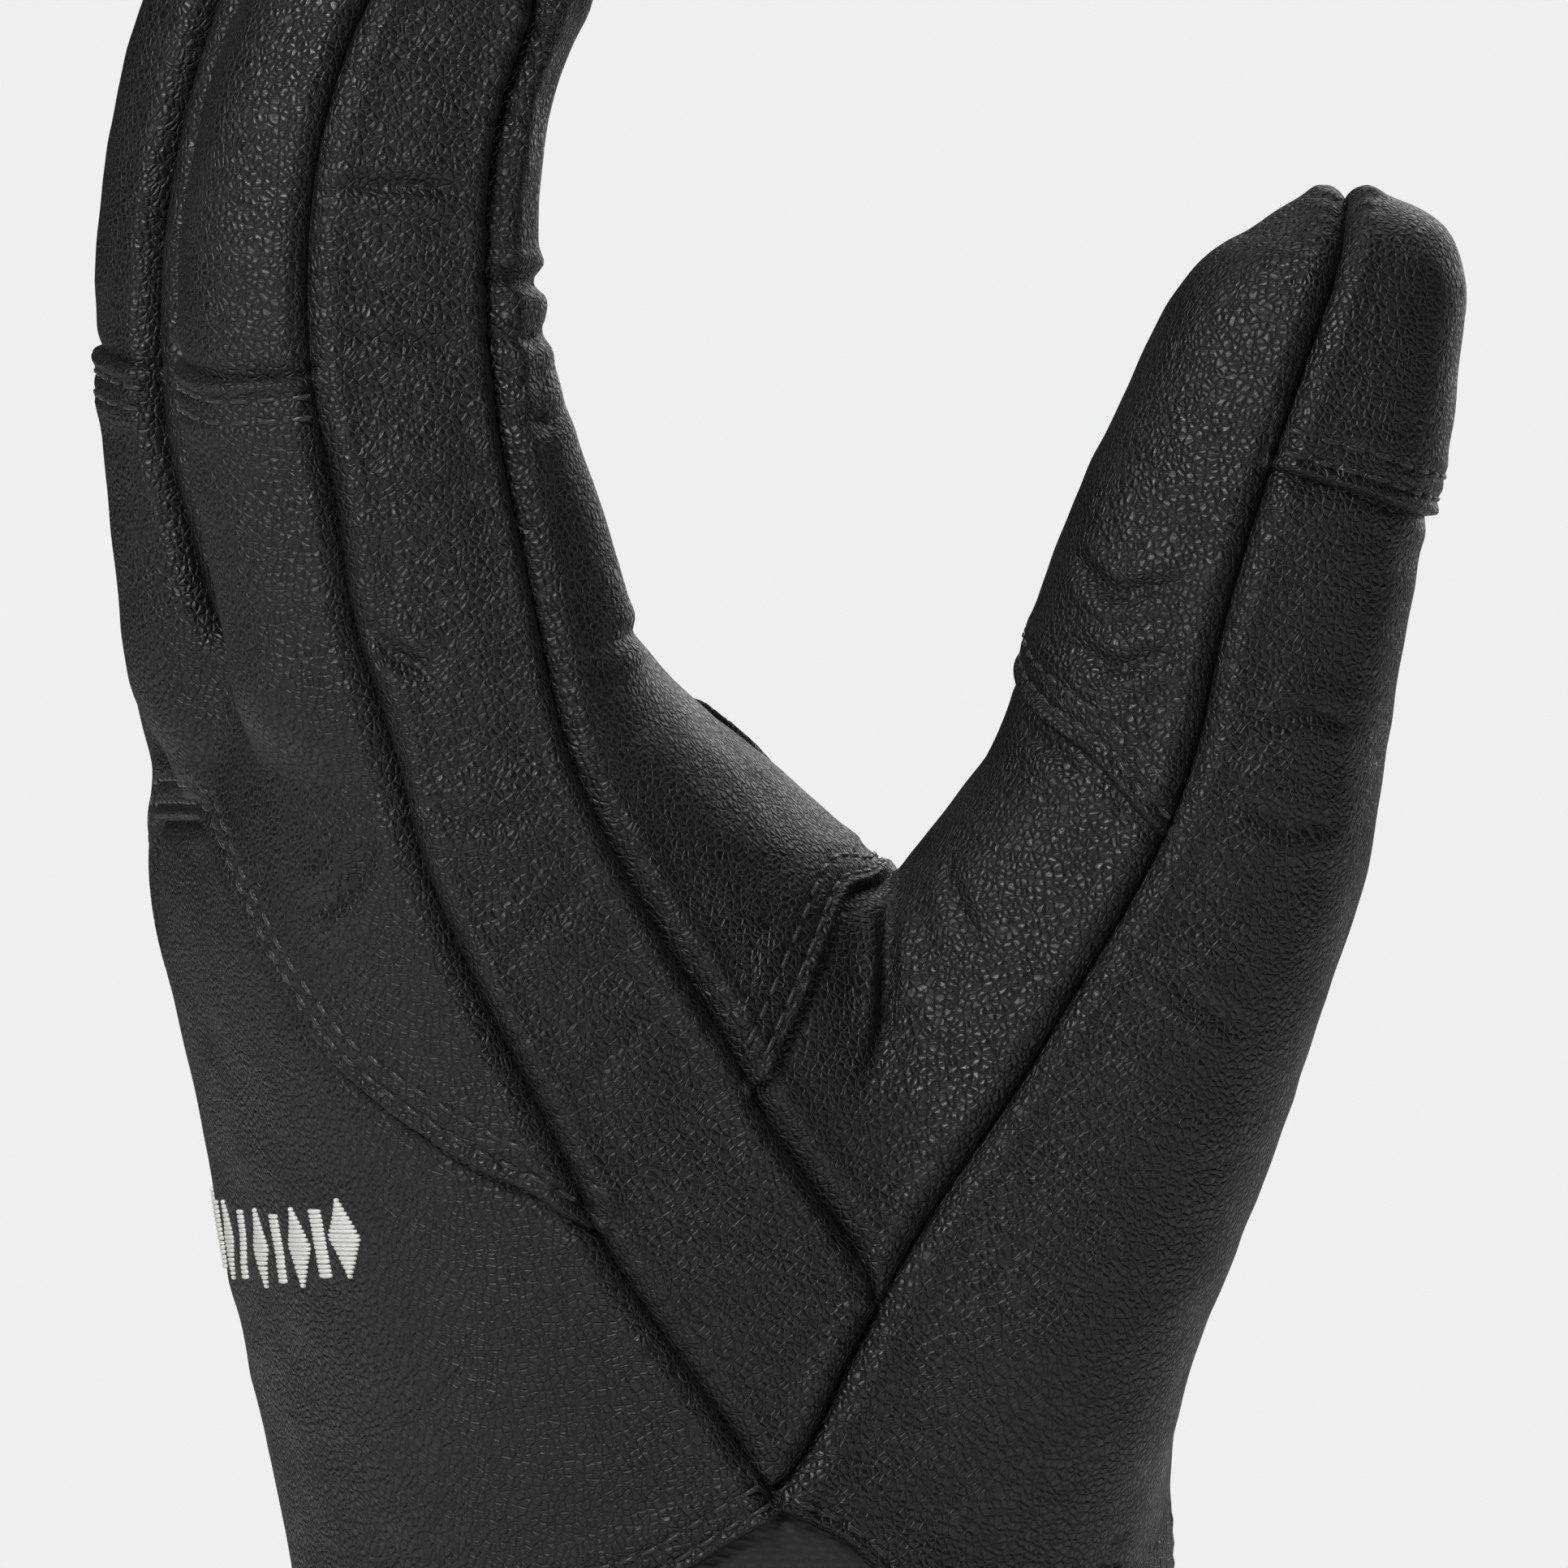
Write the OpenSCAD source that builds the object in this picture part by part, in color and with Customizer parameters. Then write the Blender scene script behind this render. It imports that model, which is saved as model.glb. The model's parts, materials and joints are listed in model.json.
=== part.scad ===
// Left ski glove of pebbled leather, standing on its cuff hem.
// Row frame: origin at the middle of the cuff's mouth, +Z along the fingers, +X out of the palm,
// -Y on the thumb and index side, +Y on the little finger side. Millimetres.

/* [View] */
// Sub-part to draw, or all

/* [Leather] */
// Thickness of the leather shell
leather = 1.0; // [0.8:0.05:1.4]
// Gap between neighbouring leather panels at a seam
seam_gap = 0.4; // [0.3:0.05:0.8]

/* [Layers] */
// Depth below the outer surface of the waterproof membrane
membrane_depth = 1.55; // [1.2:0.05:1.8]
// Thickness of the waterproof membrane
membrane_thick = 0.3; // [0.2:0.05:0.5]
// Thickness of the insulation
insulation_thick = 1.7; // [1:0.1:3]
// Thickness of the lining
lining_thick = 0.6; // [0.4:0.1:1]

/* [Joints] */
// Flex of a knuckle from its resting curve, degrees
knuckle_flex = 40; // [20:1:60]
// Straightening of a knuckle from its resting curve, degrees
knuckle_back = 10; // [0:1:20]
// Flex of a middle joint from its resting curve, degrees
finger_flex = 45; // [20:1:60]
// Straightening of a middle joint from its resting curve, degrees
finger_back = 8; // [0:1:20]
// Closing of the thumb's lower joint, degrees
thumb_close = 25; // [10:1:40]
// Opening of the thumb's lower joint, degrees
thumb_open = 15; // [0:1:25]
// Closing of the thumb's upper joint, degrees
thumb_bend = 45; // [20:1:60]
// Straightening of the thumb's upper joint, degrees
thumb_back = 8; // [0:1:15]
// Clearance left at each side of a joint
joint_gap = 0.45; // [0.3:0.05:1]

/* [Cuff] */
// Radius of the cuff at its hem
cuff_r = 46; // [43:0.5:50]
// Radius of the cuff where it meets the hand
wrist_r = 44.4; // [42:0.2:47]
// Height of the cuff
cuff_h = 61; // [50:1:75]
// Width of the wrist strap
strap_w = 24; // [18:1:30]

/* [Hidden] */
$fn = 96;
insulation_depth = membrane_depth + membrane_thick + 0.25;
lining_depth = insulation_depth + insulation_thick + 0.25;
black = [0.06, 0.06, 0.065];

// ---- tubes: stations of [x, y, z, half width, half depth, squareness] joined by a smooth curve ----
function unit(v) = v / norm(v);
function heading(splay, pitch) = [sin(pitch), cos(pitch) * sin(splay), cos(pitch) * cos(splay)];
function chain(k, splay, pitch, len, w, d, i = 0) =
    concat([[k[0], k[1], k[2], w[i], d[i], 2.6]],
        i == len(len) ? [] : chain(k + len[i] * heading(splay, pitch[i]), splay, pitch, len, w, d, i + 1));
index_st = chain([-40.5, -39, 170], -1, [-13, 6, 30], [30.4, 26.7, 28], [12.7, 12.7, 12.4, 11.2],
    [20.5, 18.3, 16.6, 13.2]);
middle_st = chain([-49, -13, 173], -0.5, [-6, 8, 34], [33, 29, 28], [12.5, 12.5, 12.3, 11],
    [17.8, 17, 15.4, 12.6]);
ring_st = chain([-44, 12.5, 170], 0.5, [-4, 11, 38], [30, 28, 26], [12.2, 12.2, 12, 10.8],
    [17.2, 16, 14.6, 12.4]);
little_st = chain([-38, 37, 160], 1, [-3, 12, 40], [24, 22, 23], [11.5, 11.4, 11.1, 10],
    [15.4, 14, 12.8, 11.4]);
hand_st = [[0, 0, 58, 43, 43.5, 2.05], [0.5, 0, 72, 44.5, 45.6, 2.1], [-5.5, 0, 95, 47, 43.8, 2.3],
    [-16, -1, 120, 49.5, 39.3, 2.5], [-31.5, -2, 148, 51, 29, 2.5], [-38.5, -2, 168, 50.5, 20.8, 2.5],
    [-44, -2, 186, 50, 17, 2.5]];
thumb_st = [[11, -14, 74, 24, 28, 2.5], [18.5, -22, 100, 26, 26.8, 2.5], [29, -28, 124, 24, 24.6, 2.5],
    [40.3, -33, 148, 21, 20.4, 2.5], [45.8, -37, 172, 18.5, 18.3, 2.5], [53, -40, 195, 16.5, 15.8, 2.5],
    [57.3, -41.3, 206.5, 14, 12.4, 2.5], [57.8, -42, 215.2, 11, 9.8, 2.5]];
// a tube is [stations, sideways direction, 1 where its end is rounded, 1 where it closes towards +X or -1]
fingers = [[index_st, [0, 1, 0], 1, 1], [middle_st, [0, 1, 0], 1, 1], [ring_st, [0, 1, 0], 1, 1],
    [little_st, [0, 1, 0], 1, 1]];
hand = [hand_st, [0, 1, 0], 0, 1];
thumb = [thumb_st, [0.2, 0.98, 0], 1, -1];
bend_at = [0.95, 0.8, 0.85, 0.95];
thumb_low = 3;
thumb_high = 4.5;

function row(st, t) =
    let(
        n = len(st),
        i = min(max(floor(t), 0), n - 2),
        f = t - i,
        b = st[i],
        c = st[i + 1],
        a = i == 0 ? 2 * b - c : st[i - 1],
        d = i + 2 > n - 1 ? 2 * c - b : st[i + 2]
    )
    0.5 * (2 * b + (c - a) * f + (2 * a - 5 * b + 4 * c - d) * f * f + (3 * b - 3 * c + d - a) * f * f * f);
function mid(tb, t) = let(q = row(tb[0], t)) [q[0], q[1], q[2]];
function along(tb, t) = unit(mid(tb, t + 0.02) - mid(tb, t - 0.02));
function sideways(tb, t) = let(T = along(tb, t)) unit(tb[1] - T * (T * tb[1]));
function frontways(tb, t) = cross(sideways(tb, t), along(tb, t));
function last(st) = st[len(st) - 1];
function round_off(tb, t) =
    let(
        e = last(tb[0]),
        l = 0.9 * e[4],
        r = norm(mid(tb, t) - [e[0], e[1], e[2]])
    )
    tb[2] == 0 || r >= l ? 1 : sqrt(1 - pow((l - r) / l, 2));
function pt(tb, t, phi) =
    let(
        q = row(tb[0], t),
        T = along(tb, t),
        L = unit(tb[1] - T * (T * tb[1])),
        N = cross(L, T),
        f = round_off(tb, t),
        e = 2 / q[5],
        c = cos(phi),
        s = sin(phi)
    )
    [q[0], q[1], q[2]] + L * (sign(c) * pow(abs(c), e) * q[3] * f) + N * (sign(s) * pow(abs(s), e) * q[4] * f);
function out_of(tb, t, phi) =
    unit(cross(pt(tb, t, phi) - pt(tb, t - 0.015, phi), pt(tb, t, phi + 2) - pt(tb, t, phi - 2)));
function mix(a, b, u) = a + (b - a) * u;

// ---- where a piece stops: [t], or [t, side of the joint, closing angle, opening angle] ----
function stop_at(tb, lm, phi) =
    let(
        N = frontways(tb, lm[0]) * tb[3],
        m = mid(tb, lm[0]),
        v = norm(mid(tb, lm[0] + 0.05) - mid(tb, lm[0] - 0.05)) / 0.1,
        x = (pt(tb, lm[0], phi) - m) * N - 3
    )
    len(lm) == 1 ? lm[0]
        : lm[0] + lm[1] * (joint_gap + (x > 0 ? 1.22 * x * tan(lm[2] / 2) : -1.4 * x * tan(lm[3] / 2))) / v;
// the hand's top edge lies below every knuckle's swept space
knuckle_x = [[-39, -40.5], [-13, -49], [12.5, -44], [37, -38]];
knuckle_z = [[-39, 170], [-13, 173], [12.5, 170], [37, 160]];
knuckle_lean = [[-39, -13], [-13, -6], [12.5, -4], [37, -3]];
function over_rim(p) =
    let(
        a = lookup(p[1], knuckle_lean),
        d = [p[0] - lookup(p[1], knuckle_x), p[2] - lookup(p[1], knuckle_z)],
        x = d[0] * cos(a) - d[1] * sin(a) - 3
    )
    d[0] * sin(a) + d[1] * cos(a) + joint_gap + 0.9
    + (x > 0 ? 1.05 * x * tan(knuckle_flex / 2) : -1.3 * x * tan(knuckle_back / 2));
function rim(phi, lo = 3, hi = 6, n = 9) =
    let(m = (lo + hi) / 2)
    n == 0 ? lo : over_rim(pt(hand, m, phi)) > 0 ? rim(phi, lo, m, n - 1) : rim(phi, m, hi, n - 1);
RIM = [for (a = [0:6:360]) [a, rim(a)]];
function edge_at(tb, lm, phi) = is_string(lm) ? lookup(phi < 0 ? phi + 360 : phi > 360 ? phi - 360 : phi, RIM)
    : is_list(lm[0]) ? lookup(phi, lm) : stop_at(tb, lm, phi);
function rough(lm) = is_string(lm) ? 5 : is_list(lm[0]) ? lm[0][1] : lm[0];

function across(a, b, t, v) = mix(is_list(a) ? lookup(t, a) : a, is_list(b) ? lookup(t, b) : b, v);

// ---- a curved panel: rows run from edge lo to edge hi, columns from angle table a to angle table b ----
function skin(tb, lo, hi, a, b, nt, np, r, ease) =
    [for (i = [0:nt]) for (j = [0:np])
        let(
            u = ease ? 1 - pow(1 - i / nt, 2) : i / nt,
            first = across(a, b, mix(rough(lo), rough(hi), u), j / np),
            phi = across(a, b, mix(edge_at(tb, lo, first), edge_at(tb, hi, first), u), j / np),
            t = mix(edge_at(tb, lo, phi), edge_at(tb, hi, phi), u)
        )
        pt(tb, t, phi) - r * out_of(tb, t, phi)];
function quad(a, b, c, d) = [[a, d, c], [a, c, b]];
module panel(tb, lo, hi, a, b, nt, np, r0 = 0, r1 = leather, ease = false) {
    w = np + 1;
    m = (nt + 1) * w;
    points = concat(skin(tb, lo, hi, a, b, nt, np, r0, ease), skin(tb, lo, hi, a, b, nt, np, r1, ease));
    top = [for (i = [0:nt - 1]) for (j = [0:np - 1])
        each quad(i * w + j, (i + 1) * w + j, (i + 1) * w + j + 1, i * w + j + 1)];
    under = [for (f = top) [f[2] + m, f[1] + m, f[0] + m]];
    ends = [for (j = [0:np - 1])
        each concat([[j + 1, j, j + m], [j + 1, j + m, j + 1 + m]],
            let(k = nt * w + j) [[k, k + 1, k + 1 + m], [k, k + 1 + m, k + m]])];
    flanks = [for (i = [0:nt - 1])
        each let(p = i * w, q = i * w + np)
        [[p, p + w, p + w + m], [p, p + w + m, p + m], [q + w, q, q + m], [q + w, q + m, q + w + m]]];
    polyhedron(points, concat(top, under, ends, flanks), convexity = 8);
}
// ---- a closed sleeve: the same all the way round ----
module sock(tb, lo, hi, nt, np, r0, r1, ease = false) {
    w = np;
    m = (nt + 1) * w;
    function ring_of(r) = [for (i = [0:nt]) for (j = [0:np - 1])
        let(
            u = ease ? 1 - pow(1 - i / nt, 2) : i / nt,
            phi = 360 * j / np,
            t = mix(edge_at(tb, lo, phi), edge_at(tb, hi, phi), u)
        )
        pt(tb, t, phi) - r * out_of(tb, t, phi)];
    top = [for (i = [0:nt - 1]) for (j = [0:np - 1])
        let(k = (j + 1) % np)
        each quad(i * w + j, (i + 1) * w + j, (i + 1) * w + k, i * w + k)];
    under = [for (f = top) [f[2] + m, f[1] + m, f[0] + m]];
    ends = [for (j = [0:np - 1])
        let(k = (j + 1) % np, b = nt * w)
        each [[k, j, j + m], [k, j + m, k + m], [b + j, b + k, b + k + m], [b + j, b + k + m, b + j + m]]];
    polyhedron(concat(ring_of(r0), ring_of(r1)), concat(top, under, ends), convexity = 8);
}
// ---- a solid plug in the shape of a tube, used to cut others ----
module plug(tb, t0, t1, nt, np, r) {
    pts = [for (i = [0:nt]) for (j = [0:np - 1])
        let(t = mix(t0, t1, i / nt), phi = 360 * j / np)
        pt(tb, t, phi) - r * out_of(tb, t, phi)];
    walls = [for (i = [0:nt - 1]) for (j = [0:np - 1])
        let(k = (j + 1) % np)
        each quad(i * np + j, (i + 1) * np + j, (i + 1) * np + k, i * np + k)];
    caps = [for (j = [1:np - 2]) each [[0, j, j + 1], [nt * np, nt * np + j + 1, nt * np + j]]];
    polyhedron(pts, concat(walls, caps), convexity = 4);
}
module hand_plug(r) {
    plug(hand, -0.35, 5.4, 10, 28, r);
}
module thumb_plug(r) {
    plug(thumb, 0.3, 3.6, 7, 20, r);
}

// ---- seam lines on the hand, as [t, angle] ----
function at_z(z) = lookup(z, [[58, 0], [72, 1], [95, 2], [120, 3], [148, 4], [168, 5], [186, 6]]);
hg = seam_gap / 2 / 45 * 57.3;
fg = seam_gap / 2 / 13 * 57.3;
tg = seam_gap / 2 / 20 * 57.3;
back_line = [[at_z(62), 218], [at_z(70), 206], [at_z(79), 184], [at_z(107), 195], [at_z(116), 198], [at_z(143), 204],
    [at_z(168), 208]];
palm_line = [[at_z(79.5), 182.5], [at_z(90), 170], [at_z(100), 165.5], [at_z(117), 172.8], [at_z(137), 173],
    [at_z(168), 158]];
wrist_line = [[at_z(62), 165], [at_z(70), 172], [at_z(79), 183]];
yoke_line = [[194.5, at_z(114)], [201.5, at_z(120)], [217, at_z(130)], [232, at_z(138.5)], [241.5, at_z(146)],
    [251, at_z(151)], [259, at_z(153.5)], [281, at_z(153.5)], [289, at_z(151)], [300, at_z(143)], [318, at_z(127)],
    [338, at_z(113)]];
function shifted(line, d) = [for (p = line) [p[0], p[1] + d]];
function raised(line, d) = [for (p = line) [p[0], p[1] + d]];

// ---- the hand ----
module back_yoke() color(black)
    panel(hand, [at_z(62)], raised(yoke_line, -0.012), shifted(back_line, hg), 338 - hg, 9, 12);
module knuckle_panel() color(black)
    panel(hand, raised(yoke_line, 0.012), "rim", [[0, 197 + hg], [4, 204 + hg], [5, 208 + hg]], 338 - hg, 5, 12);
module index_side_strip() color(black)
    panel(hand, [at_z(80.5)], "rim", shifted(palm_line, 3 * hg), shifted(back_line, -hg), 11, 4);
module little_side_strip() color(black)
    panel(hand, [at_z(63)], "rim", 338 + hg, 380 - hg, 8, 5);
module palm_panel() color(black) difference() {
    panel(hand, [at_z(66.5)], "rim", 20 + hg, shifted(concat(wrist_line, palm_line), -3 * hg), 11, 14);
    thumb_plug(-0.35);
}
module palm_patch() color(black) difference() {
    panel(hand, [at_z(92)], [at_z(146)], 34, 118, 6, 9, -1.3, -0.35);
    thumb_plug(-0.8);
}
module thumb_mound_panel() color(black) difference() {
    panel(thumb, [0.35], [thumb_low, -1, thumb_close, thumb_open], 2, 180 - tg, 7, 10);
    hand_plug(-0.35);
}
module thumb_web_gusset() color(black) difference() {
    panel(thumb, [0.9], [thumb_low, -1, thumb_close, thumb_open], 180 + tg, 358, 6, 10);
    hand_plug(-0.35);
}
module wrist_stretch_insert() color([0.1, 0.1, 0.11])
    panel(hand, [at_z(63)], [at_z(78)], shifted(wrist_line, 2 * hg), shifted(back_line, -7 * hg), 4, 5, 0.1, 0.9);
module knuckle_foam() color([0.25, 0.25, 0.27])
    panel(hand, [at_z(151)], [[205, 5], [283, at_z(165)], [292, at_z(157)], [305, at_z(154)]], 218, 296, 2, 8,
        insulation_depth, insulation_depth + insulation_thick);
module under_layer(lo, hi, r0, r1) difference() {
    sock(hand, lo, hi, 6, 24, r0, r1);
    thumb_plug(0);
}
module hand_membrane() color([0.5, 0.52, 0.55])
    under_layer([at_z(66)], [at_z(150)], membrane_depth, membrane_depth + membrane_thick);
module hand_insulation() color([0.85, 0.85, 0.8])
    under_layer([at_z(66)], [at_z(150)], insulation_depth, insulation_depth + insulation_thick);
module hand_lining() color([0.2, 0.2, 0.22])
    under_layer([at_z(66)], [at_z(150)], lining_depth, lining_depth + lining_thick);
module back_emblem() color([0.93, 0.93, 0.93])
    for (k = [0:3])
        panel(hand, [at_z(100.5)], [at_z(109.5)], 236 + 7 * k, 240.5 + 7 * k, 2, 1, -0.75, -0.3);

// ---- the fingers ----
function low(f) = [0, 1, knuckle_flex, knuckle_back];
function high(f, s) = [bend_at[f], s, finger_flex, finger_back];
function end_of(f) = [2.995];
module back_base(f) panel(fingers[f], low(f), high(f, -1), 228 + fg, 312 - fg, 4, 6);
module back_tip(f) panel(fingers[f], high(f, 1), end_of(f), 228 + fg, 312 - fg, 8, 6, ease = true);
module palm_base(f) panel(fingers[f], low(f), high(f, -1), 22 + fg, 158 - fg, 4, 8);
module palm_tip(f) panel(fingers[f], high(f, 1), end_of(f), 22 + fg, 158 - fg, 8, 8, ease = true);
module sides_base(f) {
    panel(fingers[f], low(f), high(f, -1), 158 + fg, 228 - fg, 4, 4);
    panel(fingers[f], low(f), high(f, -1), 312 + fg, 382 - fg, 4, 4);
}
module sides_tip(f) {
    panel(fingers[f], high(f, 1), end_of(f), 158 + fg, 228 - fg, 8, 4, ease = true);
    panel(fingers[f], high(f, 1), end_of(f), 312 + fg, 382 - fg, 8, 4, ease = true);
}
module liner(f) sock(fingers[f], low(f), [2.88], 10, 18, membrane_depth, lining_depth + lining_thick, ease = true);

// ---- the thumb ----
function t_low(s) = [thumb_low, s, thumb_close, thumb_open];
function t_high(s) = [thumb_high, s, thumb_bend, thumb_back];
module thumb_back_base() color(black) panel(thumb, t_low(1), t_high(-1), tg, 180 - tg, 5, 10);
module thumb_pad_base() color(black) panel(thumb, t_low(1), t_high(-1), 180 + tg, 360 - tg, 5, 10);
module thumb_back_tip() color(black)
    panel(thumb, t_high(1), [6.985], tg, [[4, 180 - tg], [7, 192 - tg]], 8, 10, ease = true);
module thumb_pad_tip() color(black)
    panel(thumb, t_high(1), [6.985], [[4, 180 + tg], [7, 192 + tg]], 360 - tg, 8, 10, ease = true);
module thumb_liner() color([0.2, 0.2, 0.22])
    sock(thumb, t_low(1), [6.8], 12, 20, membrane_depth + 0.5, lining_depth + lining_thick, ease = true);

// ---- the cuff ----
module cuff_sleeve() color([0.09, 0.09, 0.1])
    rotate_extrude()
        polygon([[cuff_r, 1.4], [wrist_r, cuff_h - 0.4], [wrist_r - 1.2, cuff_h - 0.4], [cuff_r - 1.2, 1.4]]);
module cuff_hem_binding() color([0.05, 0.05, 0.05])
    rotate_extrude()
        polygon([[cuff_r - 3.3, 0], [cuff_r + 0.6, 0], [cuff_r + 1.2, 0.7], [cuff_r + 1.2, 6.5], [cuff_r + 0.35, 6.5],
            [cuff_r + 0.35, 1], [cuff_r - 3.3, 1], [cuff_r - 3.3, 6.5], [cuff_r - 4, 6.5], [cuff_r - 4, 0.7]]);
module cuff_lining() color([0.2, 0.2, 0.22])
    rotate_extrude()
        polygon([[cuff_r - 2.9, 1.4], [cuff_r - 2.1, 1.4], [cuff_r - 3.1, 30], [wrist_r - 3.3, 60],
            [wrist_r - 4.1, 60], [cuff_r - 3.9, 30]]);
module wrist_elastic() color([0.15, 0.15, 0.15])
    rotate_extrude()
        polygon([[42.3, 46], [43, 46], [43, 54], [42.3, 54]]);
module band(a0, a1, r0, r1, z0, z1)
    rotate([0, 0, a0])
        rotate_extrude(angle = a1 - a0)
            polygon([[r0, z0], [r1, z0], [r1, z1], [r0, z1]]);
strap_lo = 22;
strap_hi = strap_lo + strap_w;
module strap_loop_patch() color([0.12, 0.12, 0.12]) band(208, 262, 46, 46.7, strap_lo + 2, strap_hi - 2);
module strap_hook_patch() color([0.1, 0.1, 0.1]) band(210, 250, 47, 47.7, strap_lo + 2, strap_hi - 2);
module strap_flap() color([0.07, 0.07, 0.07]) band(205, 296, 48, 49.4, strap_lo, strap_hi);
module strap_anchor() color([0.07, 0.07, 0.07]) band(298.5, 345, 46.2, 49.4, strap_lo, strap_hi);
module strap_pull_tab() color([0.1, 0.1, 0.1]) band(196, 204.6, 48, 49.8, strap_lo + 4, strap_hi - 4);
loop_x = 50.4;
loop_z = 26;
module pull_loop_anchor() color([0.07, 0.07, 0.07]) difference() {
    union() {
        translate([46.4, -6, loop_z - 6]) cube([1.4, 12, 12]);
        translate([47.6, -4, loop_z - 2.4]) cube([loop_x - 47.6, 8, 4.8]);
        translate([loop_x, -4, loop_z]) rotate([-90, 0, 0]) cylinder(r = 2.4, h = 8);
    }
    translate([loop_x, -7, loop_z]) rotate([-90, 0, 0]) cylinder(r = 1.4, h = 14);
}
module pull_loop() color([0.08, 0.08, 0.08]) {
    translate([loop_x, -7.5, loop_z]) rotate([-90, 0, 0]) cylinder(r = 1, h = 15);
    for (s = [-1, 1])
        translate([loop_x - 1, s * 6.5 - 1, loop_z - 17]) cube([2, 2, 17.2]);
    translate([loop_x - 1, -7.5, loop_z - 18.5]) cube([2, 15, 2]);
}
module size_label() color([0.85, 0.85, 0.85]) band(172, 188, 41.3, 41.8, 10, 26);

back_yoke();
knuckle_panel();
index_side_strip();
little_side_strip();
palm_panel();
palm_patch();
thumb_mound_panel();
thumb_web_gusset();
wrist_stretch_insert();
knuckle_foam();
hand_membrane();
hand_insulation();
hand_lining();
back_emblem();
color(black) back_base(0);  // index_back_base
color(black) back_tip(0);  // index_back_tip
color(black) palm_base(0);  // index_palm_base
color(black) palm_tip(0);  // index_palm_tip
color(black) sides_base(0);  // index_sides_base
color(black) sides_tip(0);  // index_sides_tip
color(black) liner(0);  // index_liner
color(black) back_base(1);  // middle_back_base
color(black) back_tip(1);  // middle_back_tip
color(black) palm_base(1);  // middle_palm_base
color(black) palm_tip(1);  // middle_palm_tip
color(black) sides_base(1);  // middle_sides_base
color(black) sides_tip(1);  // middle_sides_tip
color(black) liner(1);  // middle_liner
color(black) back_base(2);  // ring_back_base
color(black) back_tip(2);  // ring_back_tip
color(black) palm_base(2);  // ring_palm_base
color(black) palm_tip(2);  // ring_palm_tip
color(black) sides_base(2);  // ring_sides_base
color(black) sides_tip(2);  // ring_sides_tip
color(black) liner(2);  // ring_liner
color(black) back_base(3);  // little_back_base
color(black) back_tip(3);  // little_back_tip
color(black) palm_base(3);  // little_palm_base
color(black) palm_tip(3);  // little_palm_tip
color(black) sides_base(3);  // little_sides_base
color(black) sides_tip(3);  // little_sides_tip
color(black) liner(3);  // little_liner
thumb_back_base();
thumb_back_tip();
thumb_pad_base();
thumb_pad_tip();
thumb_liner();
cuff_sleeve();
cuff_hem_binding();
cuff_lining();
wrist_elastic();
strap_loop_patch();
strap_anchor();
strap_flap();
strap_hook_patch();
strap_pull_tab();
pull_loop_anchor();
pull_loop();
size_label();
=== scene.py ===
import json
import math

import bpy
import numpy as np
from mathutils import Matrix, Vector, kdtree

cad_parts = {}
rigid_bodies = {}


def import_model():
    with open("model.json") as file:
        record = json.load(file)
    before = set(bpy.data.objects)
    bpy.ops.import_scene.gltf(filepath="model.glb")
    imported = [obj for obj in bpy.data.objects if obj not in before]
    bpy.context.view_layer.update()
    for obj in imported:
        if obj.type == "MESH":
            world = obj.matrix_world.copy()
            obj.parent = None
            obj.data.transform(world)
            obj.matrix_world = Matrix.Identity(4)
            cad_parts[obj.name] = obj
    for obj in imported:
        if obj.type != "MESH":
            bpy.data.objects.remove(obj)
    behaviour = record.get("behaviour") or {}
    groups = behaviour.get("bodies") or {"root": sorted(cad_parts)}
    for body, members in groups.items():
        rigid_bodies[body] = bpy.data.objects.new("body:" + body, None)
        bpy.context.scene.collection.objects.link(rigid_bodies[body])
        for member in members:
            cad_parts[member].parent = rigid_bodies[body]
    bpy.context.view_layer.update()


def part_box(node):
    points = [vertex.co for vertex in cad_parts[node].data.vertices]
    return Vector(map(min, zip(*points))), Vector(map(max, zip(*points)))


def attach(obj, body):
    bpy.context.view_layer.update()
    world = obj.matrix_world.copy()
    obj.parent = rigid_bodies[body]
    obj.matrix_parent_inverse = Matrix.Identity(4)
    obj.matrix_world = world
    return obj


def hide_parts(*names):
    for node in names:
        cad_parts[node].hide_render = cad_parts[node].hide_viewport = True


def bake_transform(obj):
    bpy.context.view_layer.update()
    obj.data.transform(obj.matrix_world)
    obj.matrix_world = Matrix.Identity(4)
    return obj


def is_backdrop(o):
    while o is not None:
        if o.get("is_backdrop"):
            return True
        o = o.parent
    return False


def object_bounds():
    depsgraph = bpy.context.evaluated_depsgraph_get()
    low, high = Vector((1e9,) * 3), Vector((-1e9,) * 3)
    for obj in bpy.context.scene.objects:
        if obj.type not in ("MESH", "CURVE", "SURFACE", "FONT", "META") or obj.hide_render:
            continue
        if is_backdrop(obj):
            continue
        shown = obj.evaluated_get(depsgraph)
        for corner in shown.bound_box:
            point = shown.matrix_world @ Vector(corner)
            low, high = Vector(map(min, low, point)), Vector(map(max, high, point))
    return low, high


# the start-up scene goes first, so that only the frame is left
for left_over in list(bpy.data.objects):
    bpy.data.objects.remove(left_over)
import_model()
MM = 0.001  # the glove is worked out in millimetres and written in metres
STITCH = 3.0  # stitch pitch
LEATHER_THICK = 0.9
LEATHER_EDGE = 61.3  # height of the lower edge of the leather
LAYER_EDGE = 66.0  # height of the lower edge of the layers inside
LEATHER_PUFF, INSERT_PUFF = 0.8, 0.2  # how far the padding pushes each material out between its seams
SLIVER = 60  # a panel with fewer faces than this joins its neighbour
EMBLEM_Z = 122.7
VIEW_WIDTH = 0.16615  # metres across the picture at the glove


# ---------------------------------------------------------------- camera: long lens, thumb side, slightly from the back
VIEW_AZ = math.radians(-12)
RIGHT = np.array([math.cos(VIEW_AZ), math.sin(VIEW_AZ), 0.0])
LOOK = np.array([-math.sin(VIEW_AZ), math.cos(VIEW_AZ), 0.0])


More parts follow.
